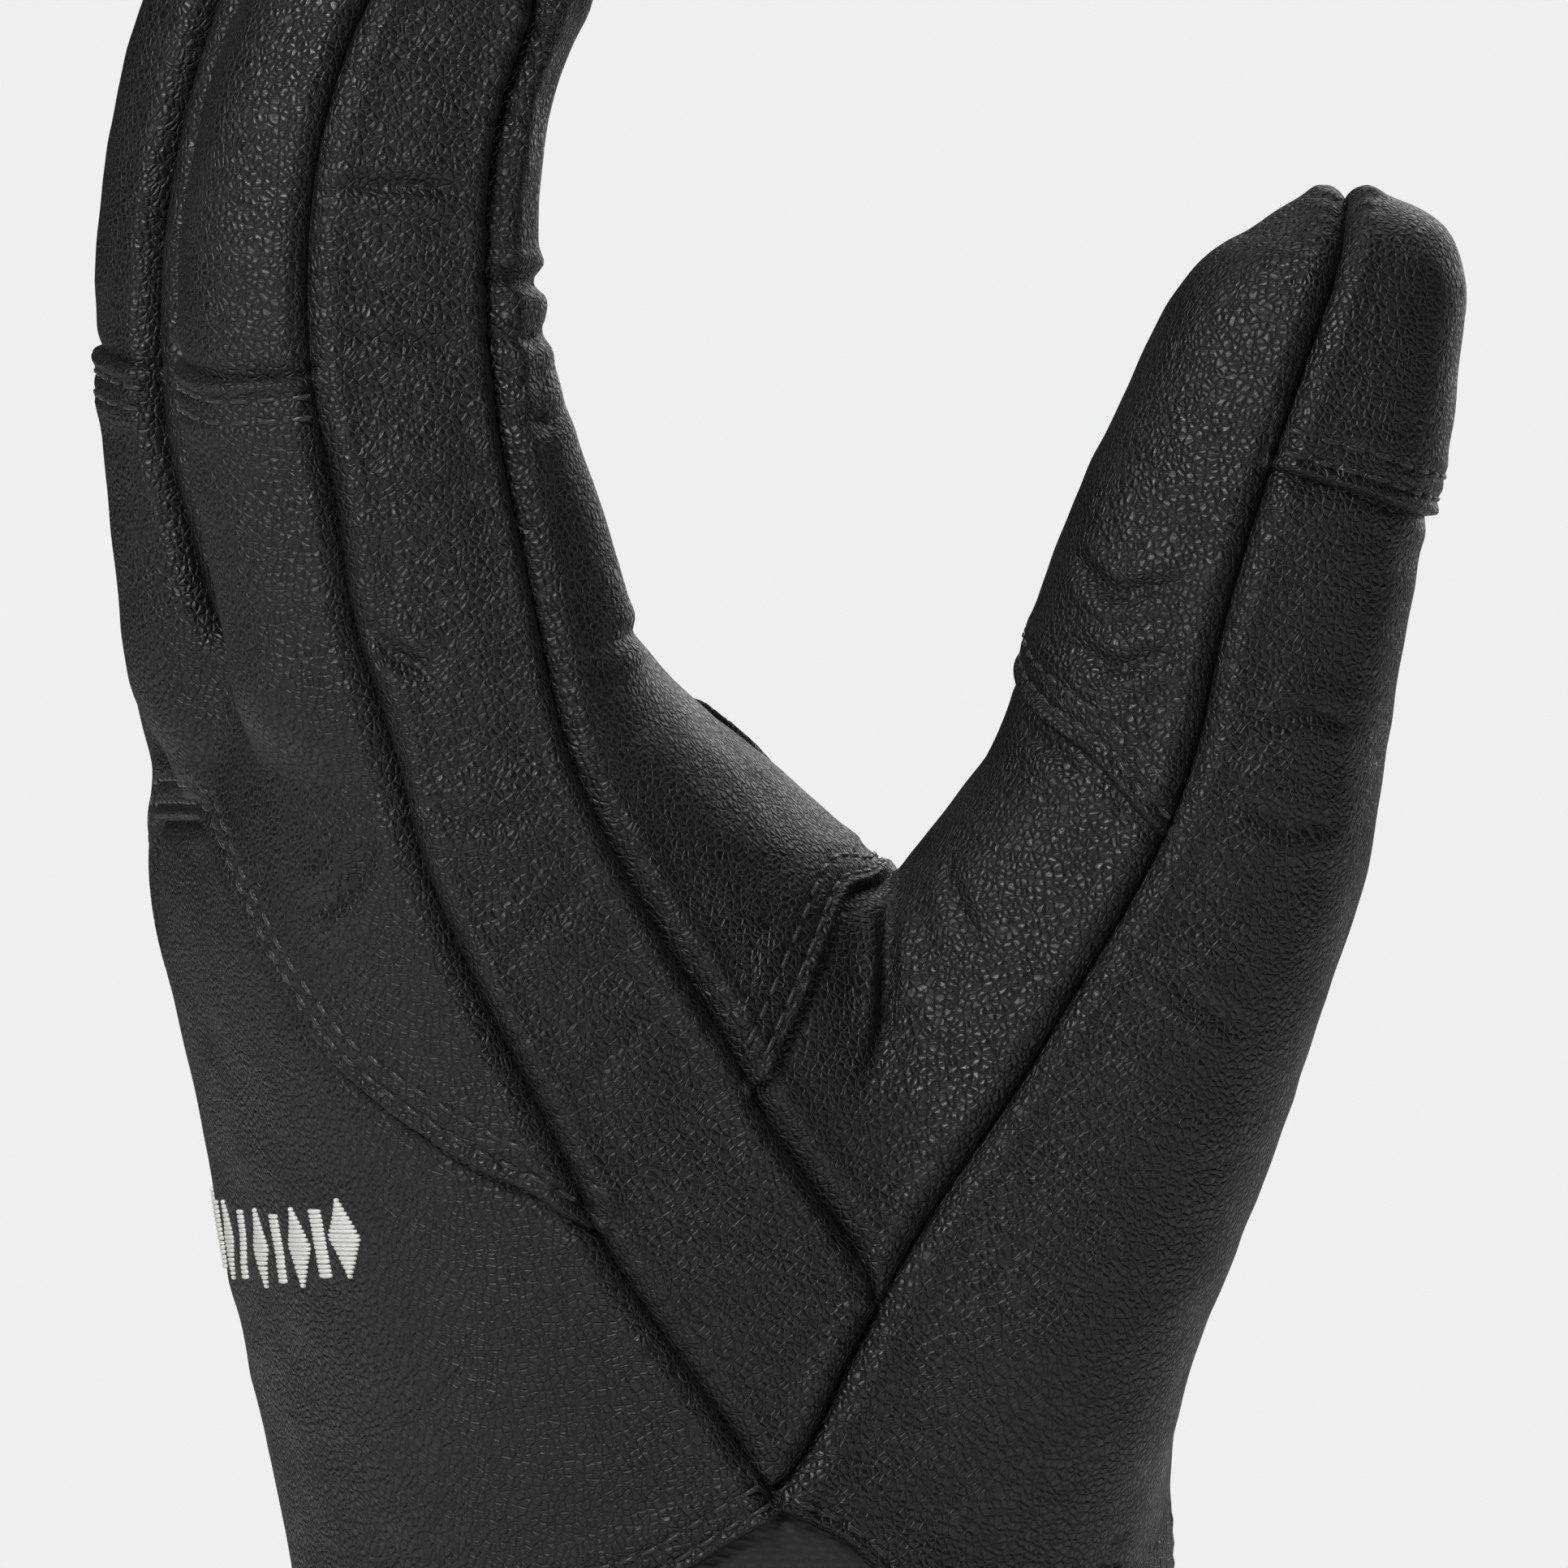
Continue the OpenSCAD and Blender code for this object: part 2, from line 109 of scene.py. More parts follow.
# ---------------------------------------------------------------- tubes: the same stations as the CAD part, in mm
def chain(start, splay, pitches, lengths, widths, depths):
    rows, p = [], np.array(start, float)
    s = math.radians(splay)
    for i, (w, d) in enumerate(zip(widths, depths)):
        rows.append([*p, w, d, 2.6])
        if i < len(lengths):
            a = math.radians(pitches[i])
            p = p + lengths[i] * np.array([math.sin(a), math.cos(a) * math.sin(s), math.cos(a) * math.cos(s)])
    return rows


def catmull(rows, t):
    n = len(rows)
    i = np.clip(np.floor(t).astype(int), 0, n - 2)
    f = (t - i)[:, None]
    b, c = rows[i], rows[i + 1]
    a = np.where((i == 0)[:, None], 2 * b - c, rows[np.maximum(i - 1, 0)])
    d = np.where((i + 2 > n - 1)[:, None], 2 * c - b, rows[np.minimum(i + 2, n - 1)])
    return 0.5 * (2 * b + (c - a) * f + (2 * a - 5 * b + 4 * c - d) * f**2 + (3 * b - 3 * c + d - a) * f**3)


def dot(a, b):
    return (a * b).sum(-1)


def unit(v):
    return v / np.maximum(np.linalg.norm(v, axis=-1, keepdims=True), 1e-12)


class Tube:
    """A bent tube of superelliptic section. Angle 0 is the little finger side, 90 the palm, 180 the thumb side, 270 the back."""

    def __init__(self, rows, side, t0, start_cap, end_cap):
        self.rows, self.side = np.array(rows, float), np.array(side, float)
        self.t0, self.t1 = t0, len(rows) - 1.0
        m = int(round((self.t1 - t0) / 0.05))
        self.step = (self.t1 - t0) / m
        ts = t0 + np.arange(m + 1) * self.step
        C, T, L, N, shape, speed = self.frame(ts)
        arc = np.concatenate([[0], np.cumsum(np.linalg.norm(np.diff(C, axis=0), axis=1))])
        self.C32 = C.astype(np.float32)
        self.c2 = (self.C32**2).sum(1)
        self.ts, self.T, self.C, self.speed = ts, T, C, speed
        self.table = np.concatenate([C, T, L, N, shape, arc[:, None]], 1)
        self.length = arc[-1]
        self.start_cap, self.end_cap = start_cap, end_cap
        reach = shape[:, :2].max() * 1.15 + 14
        self.lo, self.hi = C.min(0) - reach, C.max(0) + reach

    def frame(self, t):
        t = np.asarray(t, float)
        q = catmull(self.rows, t)
        d = (catmull(self.rows, t + 0.02) - catmull(self.rows, t - 0.02))[:, :3] / 0.04
        speed = np.linalg.norm(d, axis=1)
        T = d / speed[:, None]
        L = unit(self.side - T * (T @ self.side)[:, None])
        return q[:, :3], T, L, np.cross(L, T), q[:, 3:6], speed

    def point(self, t, phi):
        """Surface points at stations t and angles phi in degrees, with the end rounded."""
        t, phi = np.atleast_1d(np.asarray(t, float)), np.radians(np.atleast_1d(np.asarray(phi, float)))
        C, T, L, N, q, _ = self.frame(t)
        f = np.ones(len(t))
        if self.end_cap:
            r = np.linalg.norm(C - self.rows[-1, :3], axis=1)
            f = np.sqrt(np.clip(1 - (np.clip(self.end_cap - r, 0, None) / self.end_cap) ** 2, 0, 1))
        c, s, e = np.cos(phi), np.sin(phi), 2 / q[:, 2]
        a = np.sign(c) * np.abs(c) ** e * q[:, 0] * f
        b = np.sign(s) * np.abs(s) ** e * q[:, 1] * f
        return C + L * a[:, None] + N * b[:, None]

    def centre(self, t):
        return self.frame([t])[0][0]

    def coords(self, P):
        """Distance estimate, station and angle of each point."""
        out = np.full((len(P), 3), 40.0)
        out[:, 1] = -9
        near = np.flatnonzero(((P > self.lo) & (P < self.hi)).all(1))
        for k in range(0, len(near), 40000):
            idx = near[k : k + 40000]
            out[idx] = self._coords(P[idx])
        return out

    def _coords(self, P):
        P32 = P.astype(np.float32)
        i = np.argmin(self.c2[None, :] - 2 * (P32 @ self.C32.T), axis=1)
        along = dot(P - self.C[i], self.T[i])
        t = np.clip(self.ts[i] + along / self.speed[i], self.t0, self.t1)
        for turn in range(3):
            x = (t - self.t0) / self.step
            j = np.clip(x.astype(int), 0, len(self.ts) - 2)
            f = (x - j)[:, None]
            row = self.table[j] * (1 - f) + self.table[j + 1] * f
            D = P - row[:, 0:3]
            z = dot(D, row[:, 3:6])
            if turn < 2:
                t = np.clip(t + z / self.speed[i], self.t0, self.t1)
        L, N, w, d, p, arc = row[:, 6:9], row[:, 9:12], row[:, 12], row[:, 13], row[:, 14], row[:, 15]
        x, y = dot(D, L), dot(D, N)
        a, b = np.abs(x / w), np.abs(y / d)
        g = (a**p + b**p) ** (1 / p)
        r = np.hypot(x, y)
        phi = np.degrees(np.arctan2(np.sign(y) * (b / np.maximum(g, 1e-9)) ** (p / 2),
            np.sign(x) * (a / np.maximum(g, 1e-9)) ** (p / 2))) % 360
        at = arc + np.where((t <= self.t0) | (t >= self.t1), z, 0)
        cap = np.zeros(len(P))
        if self.end_cap:
            s = np.clip((self.end_cap - (self.length - at)) / self.end_cap, 0, None)
            g, cap = np.hypot(g, s), np.maximum(cap, s * self.end_cap)
        if self.start_cap:
            s = np.clip((self.start_cap - at) / self.start_cap, 0, None)
            g, cap = np.hypot(g, s), np.maximum(cap, s * self.start_cap)
        R = np.hypot(r, cap)
        dist = np.where(g > 0.05, R * (1 - 1 / np.maximum(g, 0.05)), -np.minimum(w, d))
        return np.stack([dist, t, phi], 1)


INDEX = chain([-40.5, -39, 170], -1, [-13, 6, 30], [30.4, 26.7, 28], [12.7, 12.7, 12.4, 11.2],
    [20.5, 18.3, 16.6, 13.2])
MIDDLE = chain([-49, -13, 173], -0.5, [-6, 8, 34], [33, 29, 28], [12.5, 12.5, 12.3, 11], [17.8, 17, 15.4, 12.6])
RING = chain([-44, 12.5, 170], 0.5, [-4, 11, 38], [30, 28, 26], [12.2, 12.2, 12, 10.8], [17.2, 16, 14.6, 12.4])
LITTLE = chain([-38, 37, 160], 1, [-3, 12, 40], [24, 22, 23], [11.5, 11.4, 11.1, 10], [15.4, 14, 12.8, 11.4])
HAND = [[0, 0, 58, 43, 43.5, 2.05], [0.5, 0, 72, 44.5, 45.6, 2.1], [-5.5, 0, 95, 47, 43.8, 2.3],
    [-16, -1, 120, 49.5, 39.3, 2.5],
        [-31.5, -2, 148, 51, 29, 2.5], [-38.5, -2, 168, 50.5, 20.8, 2.5], [-44, -2, 186, 50, 17, 2.5]]
THUMB = [[11, -14, 74, 24, 28, 2.5], [18.5, -22, 100, 26, 26.8, 2.5], [29, -28, 124, 24, 24.6, 2.5],
    [40.3, -33, 148, 21, 20.4, 2.5],
         [45.8, -37, 172, 18.5, 18.3, 2.5], [53, -40, 195, 16.5, 15.8, 2.5], [57.3, -41.3, 206.5, 14, 12.4, 2.5],
         [57.8, -42, 215.2, 11, 9.8, 2.5]]
FINGERS = ["index", "middle", "ring", "little"]
TUBES = {n: Tube(r, [0, 1, 0], -0.85, 24, 0.9 * r[-1][4]) for n, r in zip(FINGERS, [INDEX, MIDDLE, RING, LITTLE])}
TUBES["hand"] = Tube(HAND, [0, 1, 0], -0.6, 0, 0)
TUBES["thumb"] = Tube(THUMB, [0.2, 0.98, 0], 0.0, 16, 0.9 * THUMB[-1][4])
ORDER = FINGERS + ["hand", "thumb"]
HAND_Z = [58, 72, 95, 120, 148, 168, 186]
TOP_Y = [-60, -39, -33, -26, -19, -13, -6, 0, 6, 12.5, 19, 25, 31, 37,
    60]  # where the hand ends, lowest between the fingers
TOP_Z = [188, 188, 181, 168, 181, 190, 181, 168.5, 181, 187, 175, 161, 170, 176, 176]


def soft_min(a, b, k):
    h = np.clip(0.5 + 0.5 * (b - a) / k, 0, 1)
    return b + (a - b) * h - k * h * (1 - h)


def hand_coords(P):
    q = TUBES["hand"].coords(P)
    top = np.interp(P[:, 1], TOP_Y, TOP_Z)
    q[:, 0] = soft_max(q[:, 0], 0.6 * (P[:, 2] - top), 6.0)
    return q


def soft_max(a, b, k):
    return -soft_min(-a, -b, k)


def field(P, where=False):
    qs = [TUBES[n].coords(P) for n in FINGERS]
    fd = np.stack([q[:, 0] for q in qs])
    hand, thumb = hand_coords(P), TUBES["thumb"].coords(P)
    fingers = fd.min(0)
    body = soft_min(hand[:, 0], fingers, 5.0)
    F = soft_min(body, thumb[:, 0], 5.0)
    if not where:
        return F
    allq = np.stack(qs + [hand, thumb])
    best = allq[:, :, 0].argmin(0)
    pick = allq[best, np.arange(len(P))]
    return F, best, pick[:, 1], pick[:, 2]


def gradient(P, e=0.04):
    F = field(P)
    G = np.stack([field(P + e * np.eye(3)[k]) - F for k in range(3)], 1) / e
    return F, G


def project(P, times=2):
    for _ in range(times):
        F, G = gradient(P)
        P = P - (np.clip(F, -2.5, 2.5) / np.maximum(dot(G, G), 0.2))[:, None] * G
    return P


# ---------------------------------------------------------------- the base skin, meshed from that field
def surface_net(h):
    xs = np.arange(-80, 80, h)
    zs = np.arange(56.0, 268, h)
    pins = np.stack([np.full(len(zs), -66.0), -25.9 - 0.012 * np.clip(zs - 170, 0, None), np.full(len(zs), -0.1),
                     25.1 + 0.012 * np.clip(zs - 170, 0, None), np.full(len(zs), 60.0)], 1)
    counts = [round(40 / h), round(26 / h), round(25 / h), round(35 / h)]
    u = np.concatenate([k + np.arange(c) / c for k, c in enumerate(counts)] + [[4]])
    ys = np.stack([np.interp(u, range(5), p) for p in pins])  # one row for each z
    X = np.broadcast_to(xs[:, None, None], (len(xs), len(u), len(zs)))
    Y = np.broadcast_to(ys.T[None], X.shape)
    Z = np.broadcast_to(zs[None, None, :], X.shape)
    P = np.stack([X, Y, Z], -1)
    F = field(P.reshape(-1, 3)).reshape(X.shape)
    inside = F < 0
    total, count = np.zeros(tuple(n - 1 for n in F.shape) + (3,)), np.zeros(tuple(n - 1 for n in F.shape))
    crossings = []
    for axis in range(3):
        a = [slice(None)] * 3
        b = [slice(None)] * 3
        a[axis], b[axis] = slice(0, -1), slice(1, None)
        a, b = tuple(a), tuple(b)
        cross = inside[a] != inside[b]
        i, j, k = np.nonzero(cross)
        Fa, Fb = F[a][cross], F[b][cross]
        pos = P[a][cross] + (P[b][cross] - P[a][cross]) * (Fa / (Fa - Fb))[:, None]
        others = [x for x in range(3) if x != axis]
        cells = []
        for s1 in (0, -1):
            for s2 in (0, -1):
                c = [i.copy(), j.copy(), k.copy()]
                c[others[0]] += s1
                c[others[1]] += s2
                cells.append(np.stack(c, 1))
        ok = np.ones(len(i), bool)
        for c in cells:
            good = ((c >= 0) & (c < np.array(total.shape[:3]))).all(1)
            ok &= good
            np.add.at(total, tuple(c[good].T), pos[good])
            np.add.at(count, tuple(c[good].T), 1)
        crossings.append((cells, ok, inside[a][cross], axis))
    used = count > 0
    number = -np.ones(count.shape, int)
    number[used] = np.arange(used.sum())
    V = total[used] / count[used][:, None]
    faces = []
    for cells, ok, first_in, axis in crossings:
        q = np.stack([number[tuple(cells[m][ok].T)] for m in (0, 1, 3, 2)], 1)
        flip = first_in[ok] ^ (axis == 1)
        q[flip] = q[flip][:, ::-1]
        faces.append(q)
    Q = np.concatenate(faces)
    d1 = np.linalg.norm(V[Q[:, 0]] - V[Q[:, 2]], axis=1)
    d2 = np.linalg.norm(V[Q[:, 1]] - V[Q[:, 3]], axis=1)
    s = d1 <= d2
    F3 = np.concatenate([Q[s][:, [0, 1, 2]], Q[s][:, [0, 2, 3]], Q[~s][:, [0, 1, 3]], Q[~s][:, [1, 2, 3]]])
    return V, F3


def edges_of(F):
    E = np.sort(np.concatenate([F[:, [0, 1]], F[:, [1, 2]], F[:, [2, 0]]]), 1)
    big = np.int64(1) << 32
    key, inverse = np.unique(E[:, 0].astype(np.int64) * big + E[:, 1], return_inverse=True)
    return np.stack([key // big, key % big], 1), inverse.reshape(3, -1).T


def split_faces(F, fe, new):
    n = new[fe]
    k = (n >= 0).sum(1)
    out = [F[k == 0]]
    for r in range(3):
        s = (k == 1) & (n[:, r] >= 0)
        a, b, c, m = F[s, r], F[s, (r + 1) % 3], F[s, (r + 2) % 3], n[s, r]
        out += [np.stack([a, m, c], 1), np.stack([m, b, c], 1)]
        s = (k == 2) & (n[:, r] < 0)
        a, b, c = F[s, (r + 1) % 3], F[s, (r + 2) % 3], F[s, r]
        m1, m2 = n[s, (r + 1) % 3], n[s, (r + 2) % 3]
        out += [np.stack([m1, b, m2], 1), np.stack([a, m1, m2], 1), np.stack([a, m2, c], 1)]
    s = k == 3
    a, b, c = F[s].T
    p, q, r = n[s].T
    out += [np.stack(x, 1) for x in ([a, p, r], [p, b, q], [r, q, c], [p, q, r])]
    return np.concatenate(out)


def relax(V, F, times, amount=0.5):
    """Even out the mesh along the surface."""
    E, fe = edges_of(F)
    count = np.bincount(E.ravel(), minlength=len(V))[:, None]
    fe_count = np.bincount(fe.ravel(), minlength=len(E))
    fixed = np.zeros(len(V), bool)
    fixed[E[fe_count == 1].ravel()] = True
    for turn in range(times):
        s = np.zeros_like(V)
        for k in range(3):
            s[:, k] = np.bincount(E[:, 0], V[E[:, 1], k], len(V)) + np.bincount(E[:, 1], V[E[:, 0], k], len(V))
        move = s / count - V
        move[fixed] = 0
        V = V + amount * move
        if turn % 2 == 1 or turn == times - 1:
            V = project(V, 1)
    return V


def refine(V, F, limit):
    """Split every edge longer than limit(midpoint), and put the new points on the skin."""
    for _ in range(9):
        E, fe = edges_of(F)
        mid = (V[E[:, 0]] + V[E[:, 1]]) / 2
        long = np.linalg.norm(V[E[:, 0]] - V[E[:, 1]], axis=1) > limit(mid)
        if not long.any():
            return V, F
        new = -np.ones(len(E), int)
        new[long] = len(V) + np.arange(long.sum())
        V = np.concatenate([V, project(mid[long], 1)])
        F = split_faces(F, fe, new)
    return V, F


# ---------------------------------------------------------------- seams: lines on the skin, given as stations and angles
def hz(z, phi):
    return ("hand", float(np.interp(z, HAND_Z, range(7))) if z >= 58 else (z - 58) / 14.0, phi)


def at(x, y, z):
    return ("at", np.array([[x, y, z]], float))


def spot(c):
    return c[1] if c[0] == "at" else TUBES[c[0]].point(c[1], c[2])


def resample(P, step=0.5):
    d = np.linalg.norm(np.diff(P, axis=0), axis=1)
    s = np.concatenate([[0], np.cumsum(d)])
    n = max(2, int(round(s[-1] / step)) + 1)
    q = np.linspace(0, s[-1], n)
    return np.stack([np.interp(q, s, P[:, k]) for k in range(3)], 1)


def smooth_line(P, times, closed=False):
    P = P.copy()
    for _ in range(times):
        if closed:
            P = 0.5 * P + 0.25 * (np.roll(P, 1, 0) + np.roll(P, -1, 0))
        else:
            P[1:-1] = 0.5 * P[1:-1] + 0.25 * (P[:-2] + P[2:])
    return P


SEAMS = []
BY_NAME = {}


class Seam:
    """kind: in = turned seam with a groove; lap = lapped seam, over = +1 or -1 for the side on top; crease = a wrinkle."""

    def __init__(self, name, kind, control, ends=(None, None), smooth=60, over=0, closed=False, depth=1.0,
            width=1.0, rows=()):
        pts = []
        ctl = control + [control[0]] if closed else control
        for a, b in zip(ctl[:-1], ctl[1:]):
            if a[0] == b[0] != "at":
                u = np.linspace(0, 1, 13)[: 12 if b is not ctl[-1] or closed else 13]
                pts.append(TUBES[a[0]].point(a[1] + (b[1] - a[1]) * u, a[2] + (b[2] - a[2]) * u))
            else:
                pts.append(spot(a))
                if b is ctl[-1]:
                    pts.append(spot(b))
        P = project(resample(np.concatenate(pts)), 3)
        for k, e in ((0, ends[0]), (-1, ends[1])):
            if e:
                Q = BY_NAME[e].P
                P[k] = Q[np.linalg.norm(Q - P[k], axis=1).argmin()]
        P = resample(P)
        for _ in range(3):
            P = project(smooth_line(P, max(smooth // 3, 1), closed), 2)
            if not closed:
                P = resample(P)
        self.kind, self.over, self.closed = kind, over, closed
        self.depth, self.width, self.rows = depth, width, rows
        self.P = P
        self.N = unit(gradient(P)[1])
        self.T = unit(np.gradient(P, axis=0))
        if closed:
            self.T = unit(np.roll(P, -1, 0) - np.roll(P, 1, 0))
        self.S = np.concatenate([[0], np.cumsum(np.linalg.norm(np.diff(P, axis=0), axis=1))])
        self.seed = 1 + sum(ord(c) * (i + 1) for i, c in enumerate(name)) % 997
        BY_NAME[name] = self
        SEAMS.append(self)

    def local(self, P, n):
        """Signed distance to the side, distance along, and distance past an end, of points P with surface normals n."""
        i = np.zeros(len(P), int)
        for k in range(0, len(P), 20000):
            i[k : k + 20000] = (dot(self.P, self.P)[None] - 2 * P[k : k + 20000] @ self.P.T).argmin(1)
        D, T = P - self.P[i], self.T[i]
        along = dot(D, T)
        past = np.zeros(len(P))
        if not self.closed:
            past = np.where((i == 0) & (along < 0), -along,
                np.where((i == len(self.P) - 1) & (along > 0), along, 0))
        across = unit(np.cross(n, T))
        d = np.linalg.norm(D, axis=1)
        far = np.where(dot(n, self.N[i]) > np.where(d < 1.5, -0.4, 0.15), d, 99.0)
        return dot(D, across), self.S[i] + along, past, across, far


FS = {"index": 0.95, "middle": 0.8, "ring": 0.85, "little": 0.95}
NEXT = {"index": "middle", "middle": "ring", "ring": "little"}
LAST = {"middle": "index", "ring": "middle", "little": "ring"}
WEB_BACK = {"index": (-60, -25.9, 166), "middle": (-61, -0.1, 167), "ring": (-57, 25.1, 159)}
WEB_PALM = {"index": (-24, -25.9, 164), "middle": (-26, -0.1, 165), "ring": (-22, 25.1, 157)}


def make_seams():
    # thumb side strip: back edge A, palm edge B
    A = [("index", 2.78, 188), ("index", 2.62, 196), ("index", 2.3, 201), ("index", 1.9, 200), ("index", 1.2, 200),
        ("index", 0.5, 199),
         ("index", 0.12, 203), hz(160, 201), hz(149, 200), hz(137, 198), hz(123, 195), hz(114, 194.5), hz(98, 190),
         hz(78.2, 183.2)]
    Seam("A", "in", A)
    Seam("C", "in", [("thumb", 6.97, 184), ("thumb", 6.8, 184), ("thumb", 6.2, 183), ("thumb", 5, 181),
        ("thumb", 3.5, 180), ("thumb", 2, 183),
                     ("thumb", 1.05, 189), hz(90, 173.5), hz(81.5, 181)], ends=(None, "A"))
    Seam("B", "in", [("index", 2.78, 186), ("index", 2.68, 165), ("index", 2.5, 146), ("index", 2.04, 145),
        ("index", 1.4, 143.5), ("index", 0.9, 146), ("index", 0.4, 154),
                     hz(164, 165), hz(154, 169), hz(135, 172), hz(117, 172.3), hz(99, 166), hz(96, 167)],
                     ends=(None, "C"))
    Seam("C2", "in", [("thumb", 6.97, 356), ("thumb", 6.8, 357), ("thumb", 6.2, 359), ("thumb", 5, 360),
        ("thumb", 3.5, 360), ("thumb", 2.4, 360), ("thumb", 1.6, 358),
                      hz(95, 86.6), hz(80, 80.6), hz(62, 76.6), hz(57, 76)])
    Seam("thumb_pole", "in", [("thumb", 6.97, 184), ("thumb", 6.995, 184), ("thumb", 6.995, 356),
        ("thumb", 6.97, 356)], ends=("C", "C2"), smooth=3)
    Seam("insert_left", "lap", [hz(78.2, 183.8), hz(75, 193), hz(70, 206), hz(62, 218), hz(57, 225)],
        ends=("A", None), over=-1, rows=(1.7, 4.0))
    Seam("insert_right", "lap", [hz(78.2, 183.8), hz(75, 178), hz(70, 172), hz(62, 165), hz(57, 161)],
        ends=("A", None), over=1, rows=(1.7,))
    # fingers
    for f, g in NEXT.items():
        Seam(f + "_web_back", "in", [(f, 2.78, 352), (f, 2.62, 340), (f, 2.3, 322), (f, 1.9, 314), (f, 1, 312),
            (f, 0.5, 311), at(*WEB_BACK[f]),
                                     (g, 0.5, 228), (g, 1.1, 227), (g, 1.8, 219), (g, 2.3, 218), (g, 2.62, 200),
                                     (g, 2.78, 188)], smooth=45)
        Seam(f + "_web_palm", "in", [(f, 2.78, 352), (f, 2.62, 362), (f, 2.3, 376), (f, 1.9, 382), (f, 1, 383),
            (f, 0.6, 385), (f, 0.35, 397), (f, 0.15, 411), at(*WEB_PALM[f]),
                                     (g, 0.15, 129), (g, 0.35, 143), (g, 0.6, 155), (g, 1, 157), (g, 1.9, 158),
                                     (g, 2.3, 164), (g, 2.62, 178), (g, 2.78, 188)], smooth=45)
    Seam("little_ud", "in", [("little", 2.78, 352), ("little", 2.62, 340), ("little", 2.3, 322),
        ("little", 1.9, 314), ("little", 1, 312), ("little", 0.2, 314),
                             hz(148, 334), hz(130, 338), hz(100, 338), hz(62, 338), hz(57, 338)])
    Seam("little_up", "in", [("little", 2.78, 352), ("little", 2.62, 362), ("little", 2.3, 376),
        ("little", 1.9, 382), ("little", 1, 383), ("little", 0.2, 383),
                             hz(148, 382), hz(130, 380), hz(100, 380), hz(62, 380), hz(57, 380)])
    for f in FINGERS:
        a, b = "A" if f == "index" else "%s_web_back" % LAST[f], "little_ud" if f == "little" else f + "_web_back"
        Seam(f + "_tip", "in", [(f, 2.78, 188), (f, 2.9, 188), (f, 2.985, 189), (f, 2.985, 351), (f, 2.9, 352),
            (f, 2.78, 352)], ends=(a, b), smooth=9)
        t = FS[f]
        Seam(f + "_cross", "lap", [(f, t - 0.05, 212 if f == "index" else 228), (f, t - 0.04, 240), (f, t, 270),
            (f, t + 0.04, 312)],
             ends=(a, b), smooth=9, over=1, rows=(2.2, 4.4))
    # back of the hand, palm and thumb
    Seam("yoke", "lap", [hz(114, 194.5), hz(120, 201.5), hz(130, 217), hz(138.5, 232), hz(146, 241.5),
        hz(152.5, 251), hz(156.5, 259), hz(156.5, 270), hz(156.5, 281),
                         hz(152.5, 289), hz(143, 300), hz(127, 318), hz(113, 338)], ends=("A", "little_ud"),
                         smooth=12, over=-1, rows=(2.0, 4.4))
    Seam("thumb_back_cross", "lap", [("thumb", 4.6, 181), ("thumb", 4.62, 150), ("thumb", 4.6, 90),
        ("thumb", 4.6, 45), ("thumb", 4.6, 0)],
         ends=("C", "C2"), smooth=9, over=1, rows=(2.0, 4.4))
    Seam("thumb_pad_cross", "lap", [("thumb", 3.06, 182), ("thumb", 3.31, 207), ("thumb", 3.5, 262),
        ("thumb", 3.55, 285), ("thumb", 3.6, 320), ("thumb", 3.4, 358)],
         ends=("C", "C2"), smooth=20, over=-1, rows=(2.0, 4.4))
    Seam("web", "lap", [hz(119.2, 171.7), hz(125.1, 156), hz(129.5, 134), ("thumb", 2.25, 262),
        ("thumb", 2.05, 300), ("thumb", 1.75, 335), ("thumb", 1.62, 358)],
         ends=("B", "C2"), smooth=120, over=1, rows=(1.7, 4.0))
    Seam("patch", "lap", [hz(150, 108), hz(151, 88), hz(149, 62), hz(138, 42), hz(115, 36), hz(96, 40), hz(88, 52),
        hz(92, 64), hz(108, 70), hz(124, 78), hz(135, 92), hz(143, 104)],
         smooth=90, over=0, closed=True, rows=(1.6, 4.0))
    # wrinkles
    for k, (ctl, depth, width) in enumerate(WRINKLES):
        Seam("crease%d" % k, "crease", ctl, smooth=9, depth=depth, width=width)


